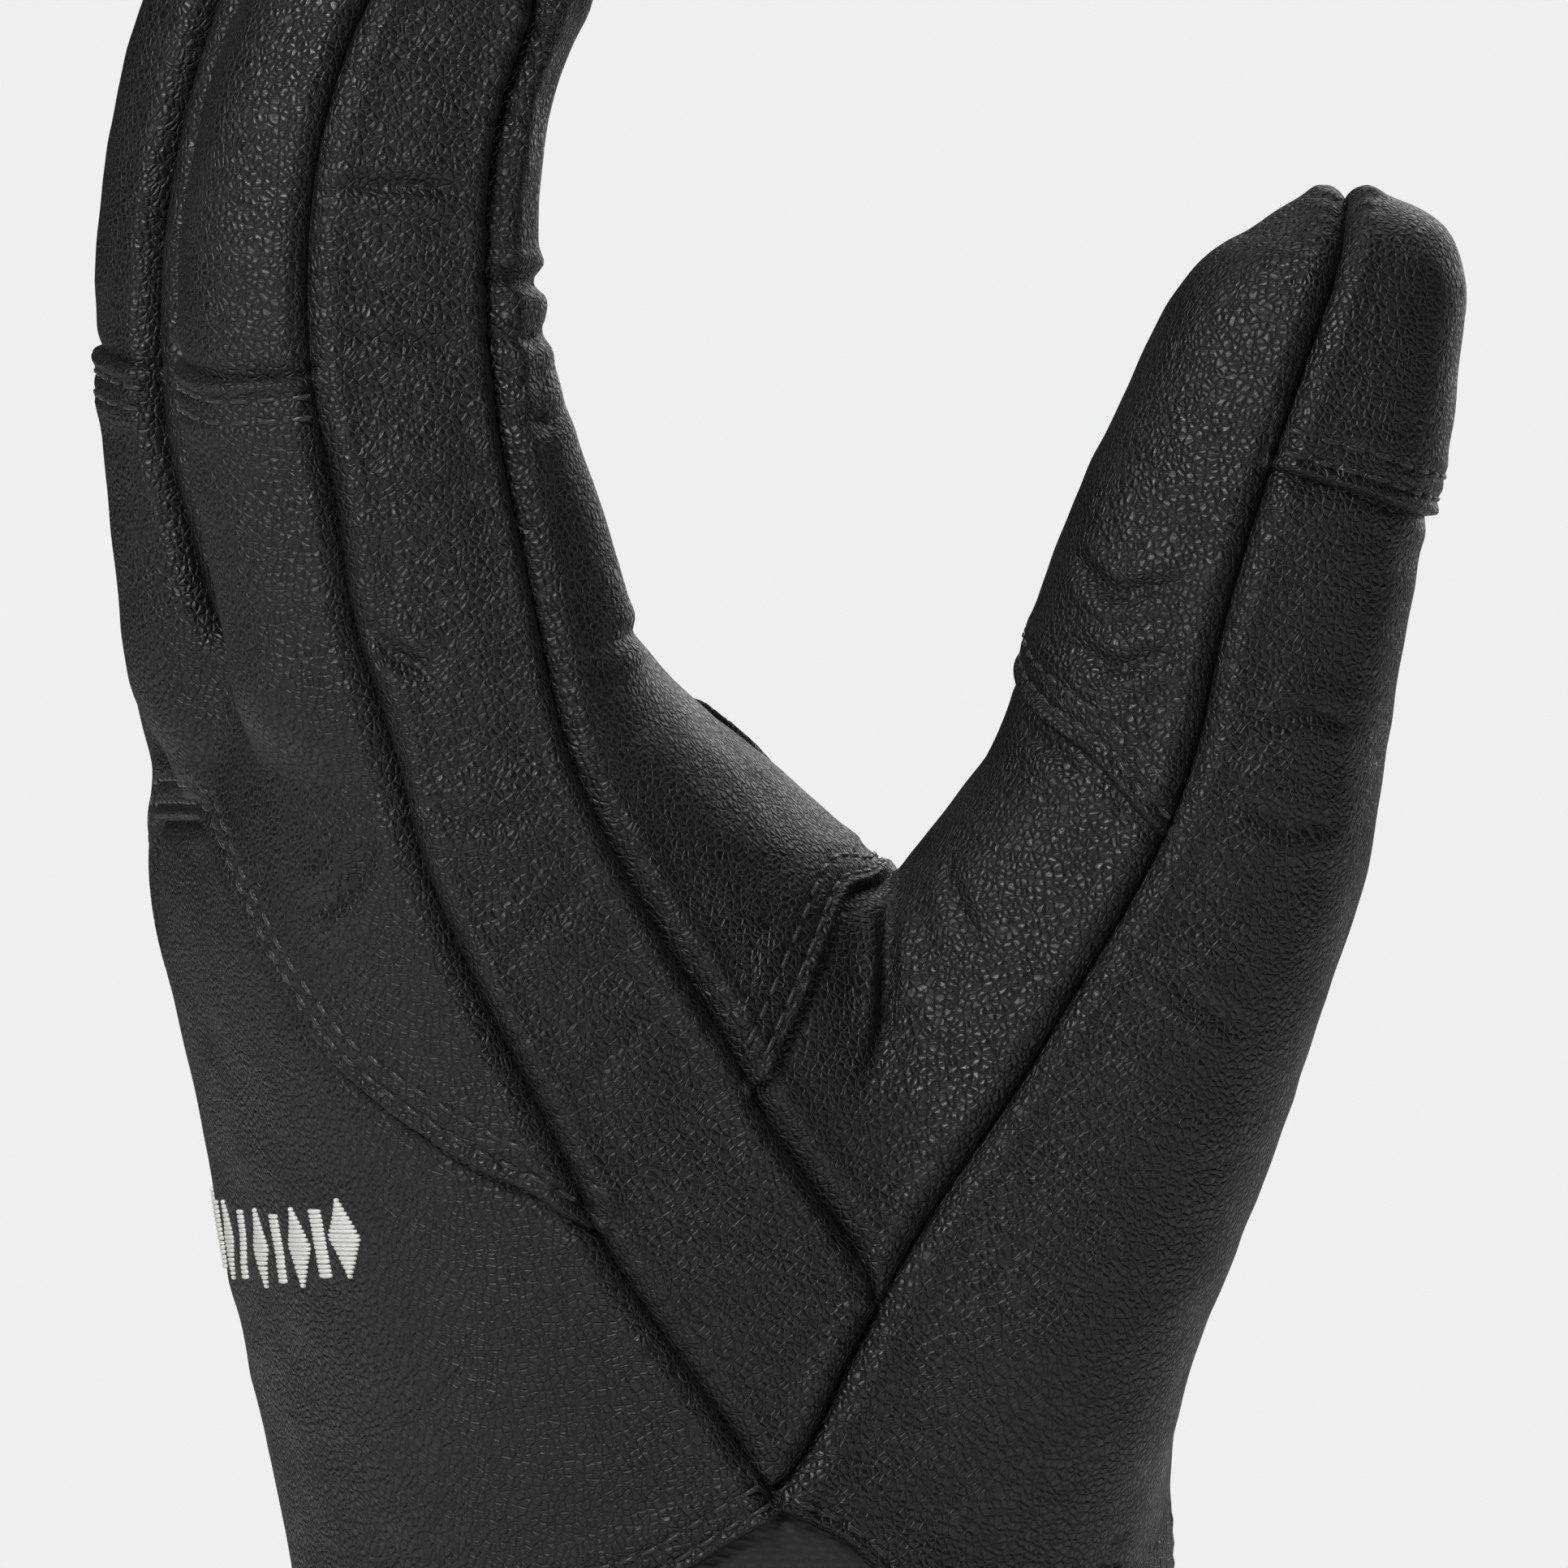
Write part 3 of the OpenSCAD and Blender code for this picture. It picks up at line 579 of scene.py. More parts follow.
WRINKLES = [
    ([("index", 1.53, 197), ("index", 1.56, 184), ("index", 1.6, 172), ("index", 1.57, 152)], 0.75, 1.1),
    ([("index", 1.02, 192), ("index", 0.98, 176), ("index", 0.9, 153)], 0.5, 1.2),
    ([("index", 0.08, 197), hz(168.5, 196), hz(165.5, 187)], 0.9, 1.3),
    ([hz(153, 206), hz(150, 216), hz(149, 228)], 0.7, 1.5),
    ([("thumb", 3.15, 200), ("thumb", 3.3, 225), ("thumb", 3.35, 250)], 0.5, 1.1),
    ([("thumb", 4.1, 188), ("thumb", 3.95, 215), ("thumb", 4.05, 245)], 0.9, 1.2),
    ([("thumb", 3.85, 186), ("thumb", 3.7, 205), ("thumb", 3.75, 228)], 0.75, 1.1),
    ([("thumb", 3.6, 170), ("thumb", 3.7, 150), ("thumb", 3.65, 125)], 0.5, 1.2),
    ([("thumb", 3.3, 172), ("thumb", 3.22, 150), ("thumb", 3.3, 128)], 0.45, 1.3),
    ([("thumb", 2.6, 172), ("thumb", 2.52, 156), ("thumb", 2.5, 138)], 0.4, 1.4),
    ([("thumb", 2.35, 250), ("thumb", 2.0, 230), ("thumb", 1.7, 214)], 0.75, 1.3),
    ([("thumb", 2.55, 238), ("thumb", 2.4, 220), ("thumb", 2.3, 203)], 0.6, 1.2),
    ([("thumb", 2.05, 254), ("thumb", 1.75, 240), ("thumb", 1.5, 228)], 0.6, 1.3),
    ([("index", 0.5, 196), ("index", 0.42, 178), ("index", 0.45, 160)], 0.35, 1.4),
    ([hz(154, 197), hz(151, 187), hz(150, 176)], 0.45, 1.4),
    ([hz(139, 195), hz(141, 186), hz(143, 176)], 0.35, 1.5),
    ([hz(126, 191), hz(129, 183), hz(130, 176)], 0.3, 1.5),
    ([("index", 1.24, 152), ("index", 1.2, 120), ("index", 1.2, 88)], 1.1, 1.2),
    ([("index", 0.95, 152), ("index", 0.93, 120), ("index", 0.95, 92)], 0.7, 1.2),
    ([("index", 0.6, 152), ("index", 0.56, 125), ("index", 0.6, 98)], 0.5, 1.3),
    ([hz(163, 162), hz(163, 140), hz(161, 118)], 0.5, 1.3),
    ([("middle", 1.0, 150), ("middle", 0.95, 90), ("middle", 1.0, 30)], 0.9, 1.4),
    ([("ring", 1.0, 150), ("ring", 0.95, 90), ("ring", 1.0, 30)], 0.9, 1.4),
    ([("little", 1.0, 150), ("little", 0.95, 90), ("little", 1.0, 30)], 0.8, 1.4),
    ([("little", 0.3, 372), ("little", 0.1, 350), ("little", 0.15, 328)], 0.5, 1.4),
    ([hz(135, 372), hz(132, 358), hz(134, 345)], 0.4, 1.5),
]
NEAR_LO, NEAR_STEP = np.array([-82.0, -70.0, 50.0]), 1.0


def nearness():
    """A coarse map of how close each place is to a seam (2), a wrinkle or stitch row (1), or neither (0)."""
    size = (np.array([164, 134, 220]) / NEAR_STEP).astype(int)
    level = np.zeros(size, np.uint8)
    offs = np.stack(np.meshgrid(*[np.arange(-6, 7)] * 3, indexing="ij"), -1).reshape(-1, 3)
    r = np.linalg.norm(offs, axis=1)
    for want, reach in ((1, 6.0), (2, 2.7)):
        o = offs[r <= reach]
        for s in SEAMS:
            if want == 2 and s.kind == "crease":
                continue
            if want == 1 and s.kind == "in":
                use = o[np.linalg.norm(o, axis=1) <= 4.2]
            else:
                use = o
            c = np.unique(((s.P - NEAR_LO) / NEAR_STEP).astype(int), axis=0)
            cells = np.clip((c[:, None] + use[None]).reshape(-1, 3), 0, size - 1)
            level[tuple(cells.T)] = want
    return level


def cut(V, F, N, tube, on, seam, ext=1.2):
    """Cut the mesh along one seam: points on the line get on[:, k], and edges that cross it are split there."""
    k = SEAMS.index(seam)
    lo, hi = seam.P.min(0) - 2.5, seam.P.max(0) + 2.5
    idx = np.flatnonzero(((V > lo) & (V < hi)).all(1))
    if not len(idx):
        return V, F, N, tube, on
    x, s, past, side, D = seam.local(V[idx], N[idx])
    near = (np.abs(x) < 1.9) & (D < 2.6) & (past < ext)
    X = np.full(len(V), np.nan)
    X[idx[near]] = x[near]
    snap = near & (np.abs(x) < 0.11)
    free = ~on[idx].any(1)
    mv = snap & free
    V[idx[mv]] -= x[mv][:, None] * side[mv]
    X[idx[snap]] = 0
    on[idx[snap], k] = True
    fs = ~np.isnan(X[F]).all(1)
    sub = F[fs]
    E, fe = edges_of(sub)
    xa, xb = X[E[:, 0]], X[E[:, 1]]
    m = xa * xb < 0  # nan gives False
    new = -np.ones(len(E), int)
    new[m] = len(V) + np.arange(m.sum())
    fr = (xa[m] / (xa[m] - xb[m]))[:, None]
    a, b = E[m, 0], E[m, 1]
    V = np.concatenate([V, V[a] + fr * (V[b] - V[a])])
    N = np.concatenate([N, unit(N[a] + fr * (N[b] - N[a]))])
    tube = np.concatenate([tube, tube[a]])
    add = on[a] & on[b]
    add[:, k] = True
    on = np.concatenate([on, add])
    F = np.concatenate([F[~fs], split_faces(sub, fe, new)])
    return V, F, N, tube, on


def trim(V, F, z):
    """Cut the mesh level at height z and drop what is below."""
    E, fe = edges_of(F)
    h = V[:, 2] - z
    h[np.abs(h) < 0.15] = 0
    V[h == 0, 2] = z
    m = h[E[:, 0]] * h[E[:, 1]] < 0
    new = -np.ones(len(E), int)
    new[m] = len(V) + np.arange(m.sum())
    a, b = E[m].T
    V = np.concatenate([V, V[a] + (h[a] / (h[a] - h[b]))[:, None] * (V[b] - V[a])])
    F = split_faces(F, fe, new)
    F = F[V[F, 2].mean(1) > z]
    used, inverse = np.unique(F, return_inverse=True)
    return V[used], inverse.reshape(-1, 3)


def components(V, N, F, on):
    """Number the panels: faces joined across edges that no seam runs along."""
    E, fe = edges_of(F)
    seam_edge = (on[E[:, 0]] & on[E[:, 1]]).any(1)
    order = np.argsort(fe.ravel(), kind="stable")
    e_sorted = fe.ravel()[order]
    f_sorted = order // 3
    same = e_sorted[1:] == e_sorted[:-1]
    fa, fb, ee = f_sorted[:-1][same], f_sorted[1:][same], e_sorted[:-1][same]
    keep = ~seam_edge[ee]
    mid, up = V[F].mean(1), unit(N[F].mean(1))
    for s in SEAMS:
        if s.kind == "crease":
            continue
        idx = np.flatnonzero(((mid > s.P.min(0) - 2) & (mid < s.P.max(0) + 2)).all(1))
        x, _, past, _, far = s.local(mid[idx], up[idx])
        sign = np.zeros(len(F))
        near = (far < 1.3) & (past < 0.05)
        sign[idx[near]] = np.sign(x[near])
        keep &= ~(sign[fa] * sign[fb] < 0)
    a, b = fa[keep], fb[keep]
    lab = np.arange(len(F))
    while True:
        m = np.minimum(lab[a], lab[b])
        old = lab.copy()
        np.minimum.at(lab, a, m)
        np.minimum.at(lab, b, m)
        lab = lab[lab]
        lab = lab[lab]
        if (lab == old).all():
            break
    lab = np.unique(lab, return_inverse=True)[1]
    # slivers caught between seams join a neighbour
    for _ in range(6):
        size = np.bincount(lab)
        ca, cb = fa[~keep], fb[~keep]
        small_a = (size[lab[ca]] < SLIVER) & (size[lab[cb]] > size[lab[ca]])
        small_b = (size[lab[cb]] < SLIVER) & (size[lab[ca]] > size[lab[cb]])
        if not (small_a.any() or small_b.any()):
            break
        table = np.arange(len(size))
        table[lab[ca[small_a]]] = lab[cb[small_a]]
        table[lab[cb[small_b]]] = lab[ca[small_b]]
        lab = table[lab]
    return np.unique(lab, return_inverse=True)[1]


# ---------------------------------------------------------------- relief: how far the leather stands off the base skin, in mm
def value_noise(P, size, seed):
    rng = np.random.default_rng(seed)
    lattice = rng.random((64, 64, 64)) * 2 - 1
    q = P / size + 200.0
    i = np.floor(q).astype(int)
    f = q - i
    f = f * f * (3 - 2 * f)
    out = np.zeros(len(P))
    for dx in (0, 1):
        for dy in (0, 1):
            for dz in (0, 1):
                w = np.where(dx, f[:, 0], 1 - f[:, 0]) * np.where(dy, f[:, 1], 1 - f[:, 1]) * np.where(dz, f[:, 2],
                    1 - f[:, 2])
                out += w * lattice[(i[:, 0] + dx) % 64, (i[:, 1] + dy) % 64, (i[:, 2] + dz) % 64]
    return out


def bump(x, width):
    return np.exp(-((x / width) ** 2))


def step01(x, a, b):
    t = np.clip((x - a) / (b - a), 0, 1)
    return t * t * (3 - 2 * t)


def smooth1d(s, seed, size=14.0):
    return value_noise(np.stack([s, np.full_like(s, seed * 7.3), np.zeros_like(s)], 1), size, 5)


def seam_tree():
    pts = np.concatenate([s.P for s in SEAMS if s.kind in ("in", "lap")])
    tree = kdtree.KDTree(len(pts))
    for k, p in enumerate(pts):
        tree.insert(p, k)
    tree.balance()
    return tree


def relief(P, N, side=None, puff=LEATHER_PUFF):
    """Height above the base skin at points P. side[k] gives the side of seam k for points that lie on it."""
    D = np.array([TREE.find(p)[2] for p in P])
    qs = np.sort(np.stack([TUBES[n].coords(P)[:, 0] for n in FINGERS]), 0)
    free = np.clip((qs[1] - 0.6) / 3.5, 0, 1)  # 0 where the next finger is close
    low, high, extra = np.zeros(len(P)), np.zeros(len(P)), np.zeros(len(P))
    for k, seam in enumerate(SEAMS):
        reach = 9.0 if seam.kind == "lap" else 5.0
        lo, hi = seam.P.min(0) - reach, seam.P.max(0) + reach
        idx = np.flatnonzero(((P > lo) & (P < hi)).all(1))
        if not len(idx):
            continue
        x, s, past, _, far = seam.local(P[idx], N[idx])
        ok = far < reach
        idx, x, s, past = idx[ok], x[ok], s[ok], past[ok]
        r = np.hypot(x, past)
        total = seam.S[-1]
        if seam.kind == "crease":
            taper = step01(s, -1, total * 0.35) * step01(total - s, -1, total * 0.35) * bump(past, 2.0)
            w = seam.width
            extra[idx] += seam.depth * taper * (-bump(x, 0.75 * w) + 0.55 * bump(np.abs(x) - 1.7 * w, w))
            continue
        sg = np.sign(x)
        if side is not None:
            on = side[idx, k] != 0
            sg[on] = side[idx[on], k]
        wobble = smooth1d(s, seam.seed)
        if seam.kind == "in":
            e = step01(past, 2.0, 0.0)
            low[idx] = np.minimum(low[idx], -e * seam.depth * (1.05 * np.exp(-r / 0.42) + 0.35 * bump(r, 1.5)))
            uneven = 1 + 0.35 * wobble
            high[idx] = np.maximum(high[idx], e * seam.width * uneven * (0.62 * bump(r - 2.4, 1.5)))
            pitch = 3.1
            phase = 2 * np.pi * (s / pitch + 0.35 * wobble) + sg * 0.7
            pucker = np.cos(phase) + 0.5 * np.cos(1.7 * phase + sg)
            extra[idx] += e * free[idx] * 0.13 * pucker * bump(r - 1.6, 1.5) * (0.5 + 0.9 * np.abs(wobble))
        else:
            over = sg == (seam.inner if seam.closed else seam.over)
            e = step01(past, 1.2, 0.0)
            edge = 1 - np.exp(-((r / 0.24) ** 1.6))
            lip = edge * (0.42 + 0.58 * np.exp(-((r / 1.45) ** 4))) * step01(r, 8.6, 4.8)
            rows = 0
            for q in seam.rows:
                beat = np.cos(2 * np.pi * s / STITCH)
                rows = rows - bump(r - q, 0.62) * (0.17 + 0.05 * beat) - bump(r - q,
                    0.34) * 0.16 * bump(((s / STITCH + 0.5) % 1 - 0.5) * STITCH, 0.3)
                rows = rows + 0.07 * bump(r - q - 1.1, 0.6)
            h_over = seam.depth * 1.08 * lip - 0.12 * bump(r, 0.3) + rows * step01(past, 0.6, 0.0)
            h_under = -0.18 * bump(r, 1.0) + 0.1 * bump(r - 2.2, 1.2)
            h = e * np.where(over, h_over, h_under)
            extra[idx] += h
    body = puff * (0.5 * (1 - np.exp(-D / 2.0)) + 0.5 * (1 - np.exp(-D / 8.0))) * free
    cloth = 0.3 * value_noise(P, 12.0, 1) + 0.12 * value_noise(P, 4.8,
        2) + 0.14 * value_noise(P * np.array([1, 1, 2.4]), 8.0, 3)
    return body + low + high * free + extra + cloth * free * step01(D, 0.5, 4)


# ---------------------------------------------------------------- from the skin to closed leather pieces
def new_object(name, verts, faces, material, normals=None):
    """A smooth-shaded mesh from points in mm; every face has the same number of corners."""
    mesh = bpy.data.meshes.new(name)
    mesh.vertices.add(len(verts))
    mesh.vertices.foreach_set("co", (np.asarray(verts, np.float32) * MM).ravel())
    faces = np.asarray(faces, np.int32)
    k = faces.shape[1]
    mesh.loops.add(faces.size)
    mesh.loops.foreach_set("vertex_index", faces.ravel())
    mesh.polygons.add(len(faces))
    mesh.polygons.foreach_set("loop_start", np.arange(len(faces), dtype=np.int32) * k)
    mesh.update(calc_edges=True)
    mesh.validate()
    mesh.polygons.foreach_set("use_smooth", np.ones(len(mesh.polygons), bool))
    if normals is not None and len(normals) == len(mesh.vertices):
        mesh.normals_split_custom_set_from_vertices(normals.tolist())
    mesh.materials.append(material)
    obj = bpy.data.objects.new(name, mesh)
    bpy.context.scene.collection.objects.link(obj)
    return obj


def vertex_normals(V, F):
    n = np.cross(V[F[:, 1]] - V[F[:, 0]], V[F[:, 2]] - V[F[:, 0]])
    out = np.zeros_like(V)
    for k in range(3):
        for c in range(3):
            out[:, c] += np.bincount(F[:, k], n[:, c], len(V))
    return unit(out)


def closed_piece(name, V, N, H, F, normals, thick, material):
    """The faces F of one panel, with thickness: outer skin, inner skin and rims."""
    used, inv = np.unique(F, return_inverse=True)
    f = inv.reshape(-1, 3)
    outer = V[used] + N[used] * H[used, None]
    inner = outer - N[used] * thick
    m = len(used)
    e = np.concatenate([f[:, [0, 1]], f[:, [1, 2]], f[:, [2, 0]]])
    key = e[:, 0].astype(np.int64) * m + e[:, 1]
    back = e[:, 1].astype(np.int64) * m + e[:, 0]
    rim = e[~np.isin(key, back)]
    walls = np.concatenate([np.stack([rim[:, 1], rim[:, 0], rim[:, 0] + m], 1),
        np.stack([rim[:, 1], rim[:, 0] + m, rim[:, 1] + m], 1)])
    faces = np.concatenate([f, f[:, ::-1] + m, walls])
    return new_object(name, np.concatenate([outer, inner]), faces, material,
        normals=np.concatenate([normals[used], -N[used]]))


# ---------------------------------------------------------------- materials
def material(name, color, rough, sheen=0.0):
    m = bpy.data.materials.new(name)
    m.use_nodes = True
    b = m.node_tree.nodes["Principled BSDF"]
    b.inputs["Base Color"].default_value = (*color, 1)
    b.inputs["Roughness"].default_value = rough
    b.inputs["Sheen Weight"].default_value = sheen
    b.inputs["Sheen Roughness"].default_value = 0.45
    return m


def add(m, kind, **values):
    n = m.node_tree.nodes.new(kind)
    for k, v in values.items():
        if k in n.inputs:
            n.inputs[k].default_value = v
        else:
            setattr(n, k, v)
    return n


def link(m, a, out, b, inp):
    m.node_tree.links.new(a.outputs[out], b.inputs[inp])


def ramp(m, stops):
    n = m.node_tree.nodes.new("ShaderNodeValToRGB")
    while len(n.color_ramp.elements) < len(stops):
        n.color_ramp.elements.new(0.5)
    for e, (at_, c) in zip(n.color_ramp.elements, stops):
        e.position, e.color = at_, (*c, 1)
    return n


def leather_material(name, base=0.0055, cell=1180.0, rough=0.37, strength=0.85):
    """Black pebbled leather: rounded grains of under a millimetre with fine creases between them."""
    m = material(name, (base, base, base * 1.04), rough)
    b = m.node_tree.nodes["Principled BSDF"]
    b.inputs["Specular IOR Level"].default_value = 0.5
    co = add(m, "ShaderNodeTexCoord")
    warp = add(m, "ShaderNodeTexNoise", Scale=260.0, Detail=2.0)
    link(m, co, "Object", warp, "Vector")
    wm = add(m, "ShaderNodeVectorMath", operation="MULTIPLY_ADD")
    link(m, warp, "Color", wm, 0)
    wm.inputs[1].default_value = (0.0011, 0.0011, 0.0011)
    link(m, co, "Object", wm, 2)
    vor = add(m, "ShaderNodeTexVoronoi", feature="DISTANCE_TO_EDGE", Scale=cell, Randomness=1.0)
    link(m, wm, "Vector", vor, "Vector")
    vor2 = add(m, "ShaderNodeTexVoronoi", feature="SMOOTH_F1", Scale=cell * 1.7, Randomness=1.0)
    link(m, wm, "Vector", vor2, "Vector")
    grain = ramp(m, [(0.0, (0, 0, 0)), (0.16, (0.62,) * 3), (0.45, (1, 1, 1))])
    link(m, vor, "Distance", grain, "Fac")
    fine = add(m, "ShaderNodeTexNoise", Scale=4200.0, Detail=2.0)
    link(m, co, "Object", fine, "Vector")
    patchy = add(m, "ShaderNodeTexNoise", Scale=95.0, Detail=3.0)
    link(m, co, "Object", patchy, "Vector")
    mix = add(m, "ShaderNodeMath", operation="MULTIPLY_ADD")
    link(m, vor2, "Distance", mix, 0)
    mix.inputs[1].default_value = -0.6
    link(m, grain, "Color", mix, 2)
    mix2 = add(m, "ShaderNodeMath", operation="MULTIPLY_ADD")
    link(m, fine, "Fac", mix2, 0)
    mix2.inputs[1].default_value = 0.22
    link(m, mix, "Value", mix2, 2)
    bp = add(m, "ShaderNodeBump", Strength=strength, Distance=0.00022)
    link(m, mix2, "Value", bp, "Height")
    link(m, bp, "Normal", b, "Normal")
    rr = add(m, "ShaderNodeMapRange")
    link(m, patchy, "Fac", rr, "Value")
    rr.inputs["From Min"].default_value, rr.inputs["From Max"].default_value = 0.3, 0.7
    rr.inputs["To Min"].default_value, rr.inputs["To Max"].default_value = rough - 0.05, rough + 0.09
    worn = add(m, "ShaderNodeMath", operation="MULTIPLY_ADD")
    link(m, grain, "Color", worn, 0)
    worn.inputs[1].default_value = -0.28
    link(m, rr, "Result", worn, 2)
    lift = add(m, "ShaderNodeMath", operation="ADD")
    link(m, worn, "Value", lift, 0)
    lift.inputs[1].default_value = 0.26
    link(m, lift, "Value", b, "Roughness")
    tone = ramp(m, [(0.25, (base * 0.75,) * 3), (0.75, (base * 1.3, base * 1.3, base * 1.36))])
    link(m, patchy, "Fac", tone, "Fac")
    # painted shade: the base colour is darkened to under half in the creases between the pebbles, following the same
    # crease pattern that drives the bump; the patchy tone underneath is random
    crease_shade = add(m, "ShaderNodeMix", data_type="RGBA", blend_type="MULTIPLY")
    crease_shade.inputs["Factor"].default_value = 0.55
    link(m, tone, "Color", crease_shade, "A")
    link(m, grain, "Color", crease_shade, "B")
    link(m, crease_shade, "Result", b, "Base Color")
    return m


def woven_material(name, color, pitch, rough=0.8, sheen=0.25, strength=0.7, shade_and_fleck=0.25):
    """A knitted or woven cloth: two crossed sets of yarns, with loose fibres."""
    m = material(name, color, rough, sheen)
    b = m.node_tree.nodes["Principled BSDF"]
    co = add(m, "ShaderNodeTexCoord")
    waves = []
    for direction in ("DIAGONAL", "Z"):
        w = add(m, "ShaderNodeTexWave", wave_type="BANDS", bands_direction=direction, Scale=0.314 / pitch,
            Distortion=1.2)
        w.inputs["Detail"].default_value = 1.0
        link(m, co, "Object", w, "Vector")
        waves.append(w)
    mul = add(m, "ShaderNodeMath", operation="MULTIPLY")
    link(m, waves[0], "Fac", mul, 0)
    link(m, waves[1], "Fac", mul, 1)
    fuzz = add(m, "ShaderNodeTexNoise", Scale=1.1 / pitch, Detail=3.0)
    link(m, co, "Object", fuzz, "Vector")
    s = add(m, "ShaderNodeMath", operation="MULTIPLY_ADD")
    link(m, fuzz, "Fac", s, 0)
    s.inputs[1].default_value = 0.5
    link(m, mul, "Value", s, 2)
    bp = add(m, "ShaderNodeBump", Strength=strength, Distance=pitch * 0.3)
    link(m, s, "Value", bp, "Height")
    link(m, bp, "Normal", b, "Normal")
    # painted shade and light: the colour is darker in the hollows of the weave and lighter on its raised crossings,
    # following the bump height; the fibre noise mixed in adds random tone
    c = ramp(m, [(0.2, tuple(x * (1 - shade_and_fleck) for x in color)),
        (0.9, tuple(min(1, x * (1 + shade_and_fleck)) for x in color))])
    link(m, s, "Value", c, "Fac")
    link(m, c, "Color", b, "Base Color")
    return m


def pile_material(name, color, size, rough=0.95, sheen=0.5, strength=1.0):
    """Brushed or looped pile: clumps of fibre."""
    m = material(name, color, rough, sheen)
    b = m.node_tree.nodes["Principled BSDF"]
    co = add(m, "ShaderNodeTexCoord")
    v = add(m, "ShaderNodeTexVoronoi", feature="F1", Scale=1 / size)
    n = add(m, "ShaderNodeTexNoise", Scale=2.2 / size, Detail=4.0)
    link(m, co, "Object", v, "Vector")
    link(m, co, "Object", n, "Vector")
    s = add(m, "ShaderNodeMath", operation="MULTIPLY_ADD")
    link(m, v, "Distance", s, 0)
    s.inputs[1].default_value = -0.8
    link(m, n, "Fac", s, 2)
    bp = add(m, "ShaderNodeBump", Strength=strength, Distance=size * 0.5)
    link(m, s, "Value", bp, "Height")
    link(m, bp, "Normal", b, "Normal")
    # painted shade and light: the colour is darker between the fibre clumps and lighter on their tops, following the
    # bump height; the noise mixed in adds random tone
    c = ramp(m, [(0.0, tuple(x * 0.6 for x in color)), (0.7, tuple(min(1, x * 1.25) for x in color))])
    link(m, s, "Value", c, "Fac")
    link(m, c, "Color", b, "Base Color")
    return m


def moulded_material(name, color, rough=0.5):
    m = material(name, color, rough)
    b = m.node_tree.nodes["Principled BSDF"]
    co = add(m, "ShaderNodeTexCoord")
    n = add(m, "ShaderNodeTexNoise", Scale=1800.0, Detail=3.0)
    link(m, co, "Object", n, "Vector")
    bp = add(m, "ShaderNodeBump", Strength=0.35, Distance=0.0001)
    link(m, n, "Fac", bp, "Height")
    link(m, bp, "Normal", b, "Normal")
    r = add(m, "ShaderNodeMapRange")
    link(m, n, "Fac", r, "Value")
    r.inputs["To Min"].default_value, r.inputs["To Max"].default_value = rough - 0.08, rough + 0.1
    link(m, r, "Result", b, "Roughness")
    return m


LEATHER = leather_material("leather_black")
THREAD = woven_material("thread_black", (0.016, 0.016, 0.017), 0.00035, 0.4, 0.2, 0.5)
WHITE = woven_material("thread_white", (0.78, 0.78, 0.76), 0.0003, 0.42, 0.3, 0.6, 0.12)
STRETCH = woven_material("stretch_fabric", (0.016, 0.016, 0.018), 0.0009)
SOFTSHELL = woven_material("softshell_black", (0.02, 0.02, 0.022), 0.0007)
FLEECE = pile_material("lining_fleece", (0.035, 0.035, 0.04), 0.0016)
FOAM = pile_material("foam_grey", (0.16, 0.16, 0.17), 0.0008, 0.9, 0.1, 0.7)
MEMBRANE = moulded_material("membrane_grey", (0.3, 0.31, 0.33), 0.55)
INSULATION = pile_material("insulation_white", (0.7, 0.7, 0.68), 0.0025, 0.95, 0.4)
BINDING = woven_material("binding_black", (0.013, 0.013, 0.014), 0.0005, 0.6, 0.2)
ELASTIC = woven_material("elastic_black", (0.018, 0.018, 0.02), 0.0011, 0.7, 0.2)
HOOK = pile_material("hook_and_loop", (0.02, 0.02, 0.022), 0.0009, 0.9, 0.4, 1.0)
RUBBER = moulded_material("rubber_black", (0.018, 0.018, 0.019), 0.48)
WEBBING = woven_material("webbing_black", (0.016, 0.016, 0.018), 0.0010, 0.62, 0.25, 0.9)
LABEL = woven_material("label_white", (0.72, 0.72, 0.7), 0.0003, 0.6, 0.2, 0.4, 0.05)


# ---------------------------------------------------------------- the leather panels
make_seams()
LOOP = BY_NAME["patch"]
LOOP.inner = float(np.sign(LOOP.local(LOOP.P.mean(0)[None], unit(LOOP.N.mean(0))[None])[0][0]))
TREE = seam_tree()

V, F = surface_net(2.4)
V = project(V, 2)
V = relax(V, F, 6)
V, F = refine(V, F, lambda m: np.full(len(m), 1.9))
V = relax(V, F, 2)
LEVEL = nearness()


def limit(m):
    c = np.clip(((m - NEAR_LO) / NEAR_STEP).astype(int), 0, np.array(LEVEL.shape) - 1)
    return np.array([1.7, 1.05, 0.58])[LEVEL[tuple(c.T)]]


V, F = refine(V, F, limit)
V, F = trim(V, F, LEATHER_EDGE)
N = unit(gradient(V)[1])
_, tube, _, _ = field(V, True)
on = np.zeros((len(V), len(SEAMS)), bool)
for s in SEAMS:
    if s.kind != "crease":
        V, F, N, tube, on = cut(V, F, N, tube, on, s)
label = components(V, N, F, on)

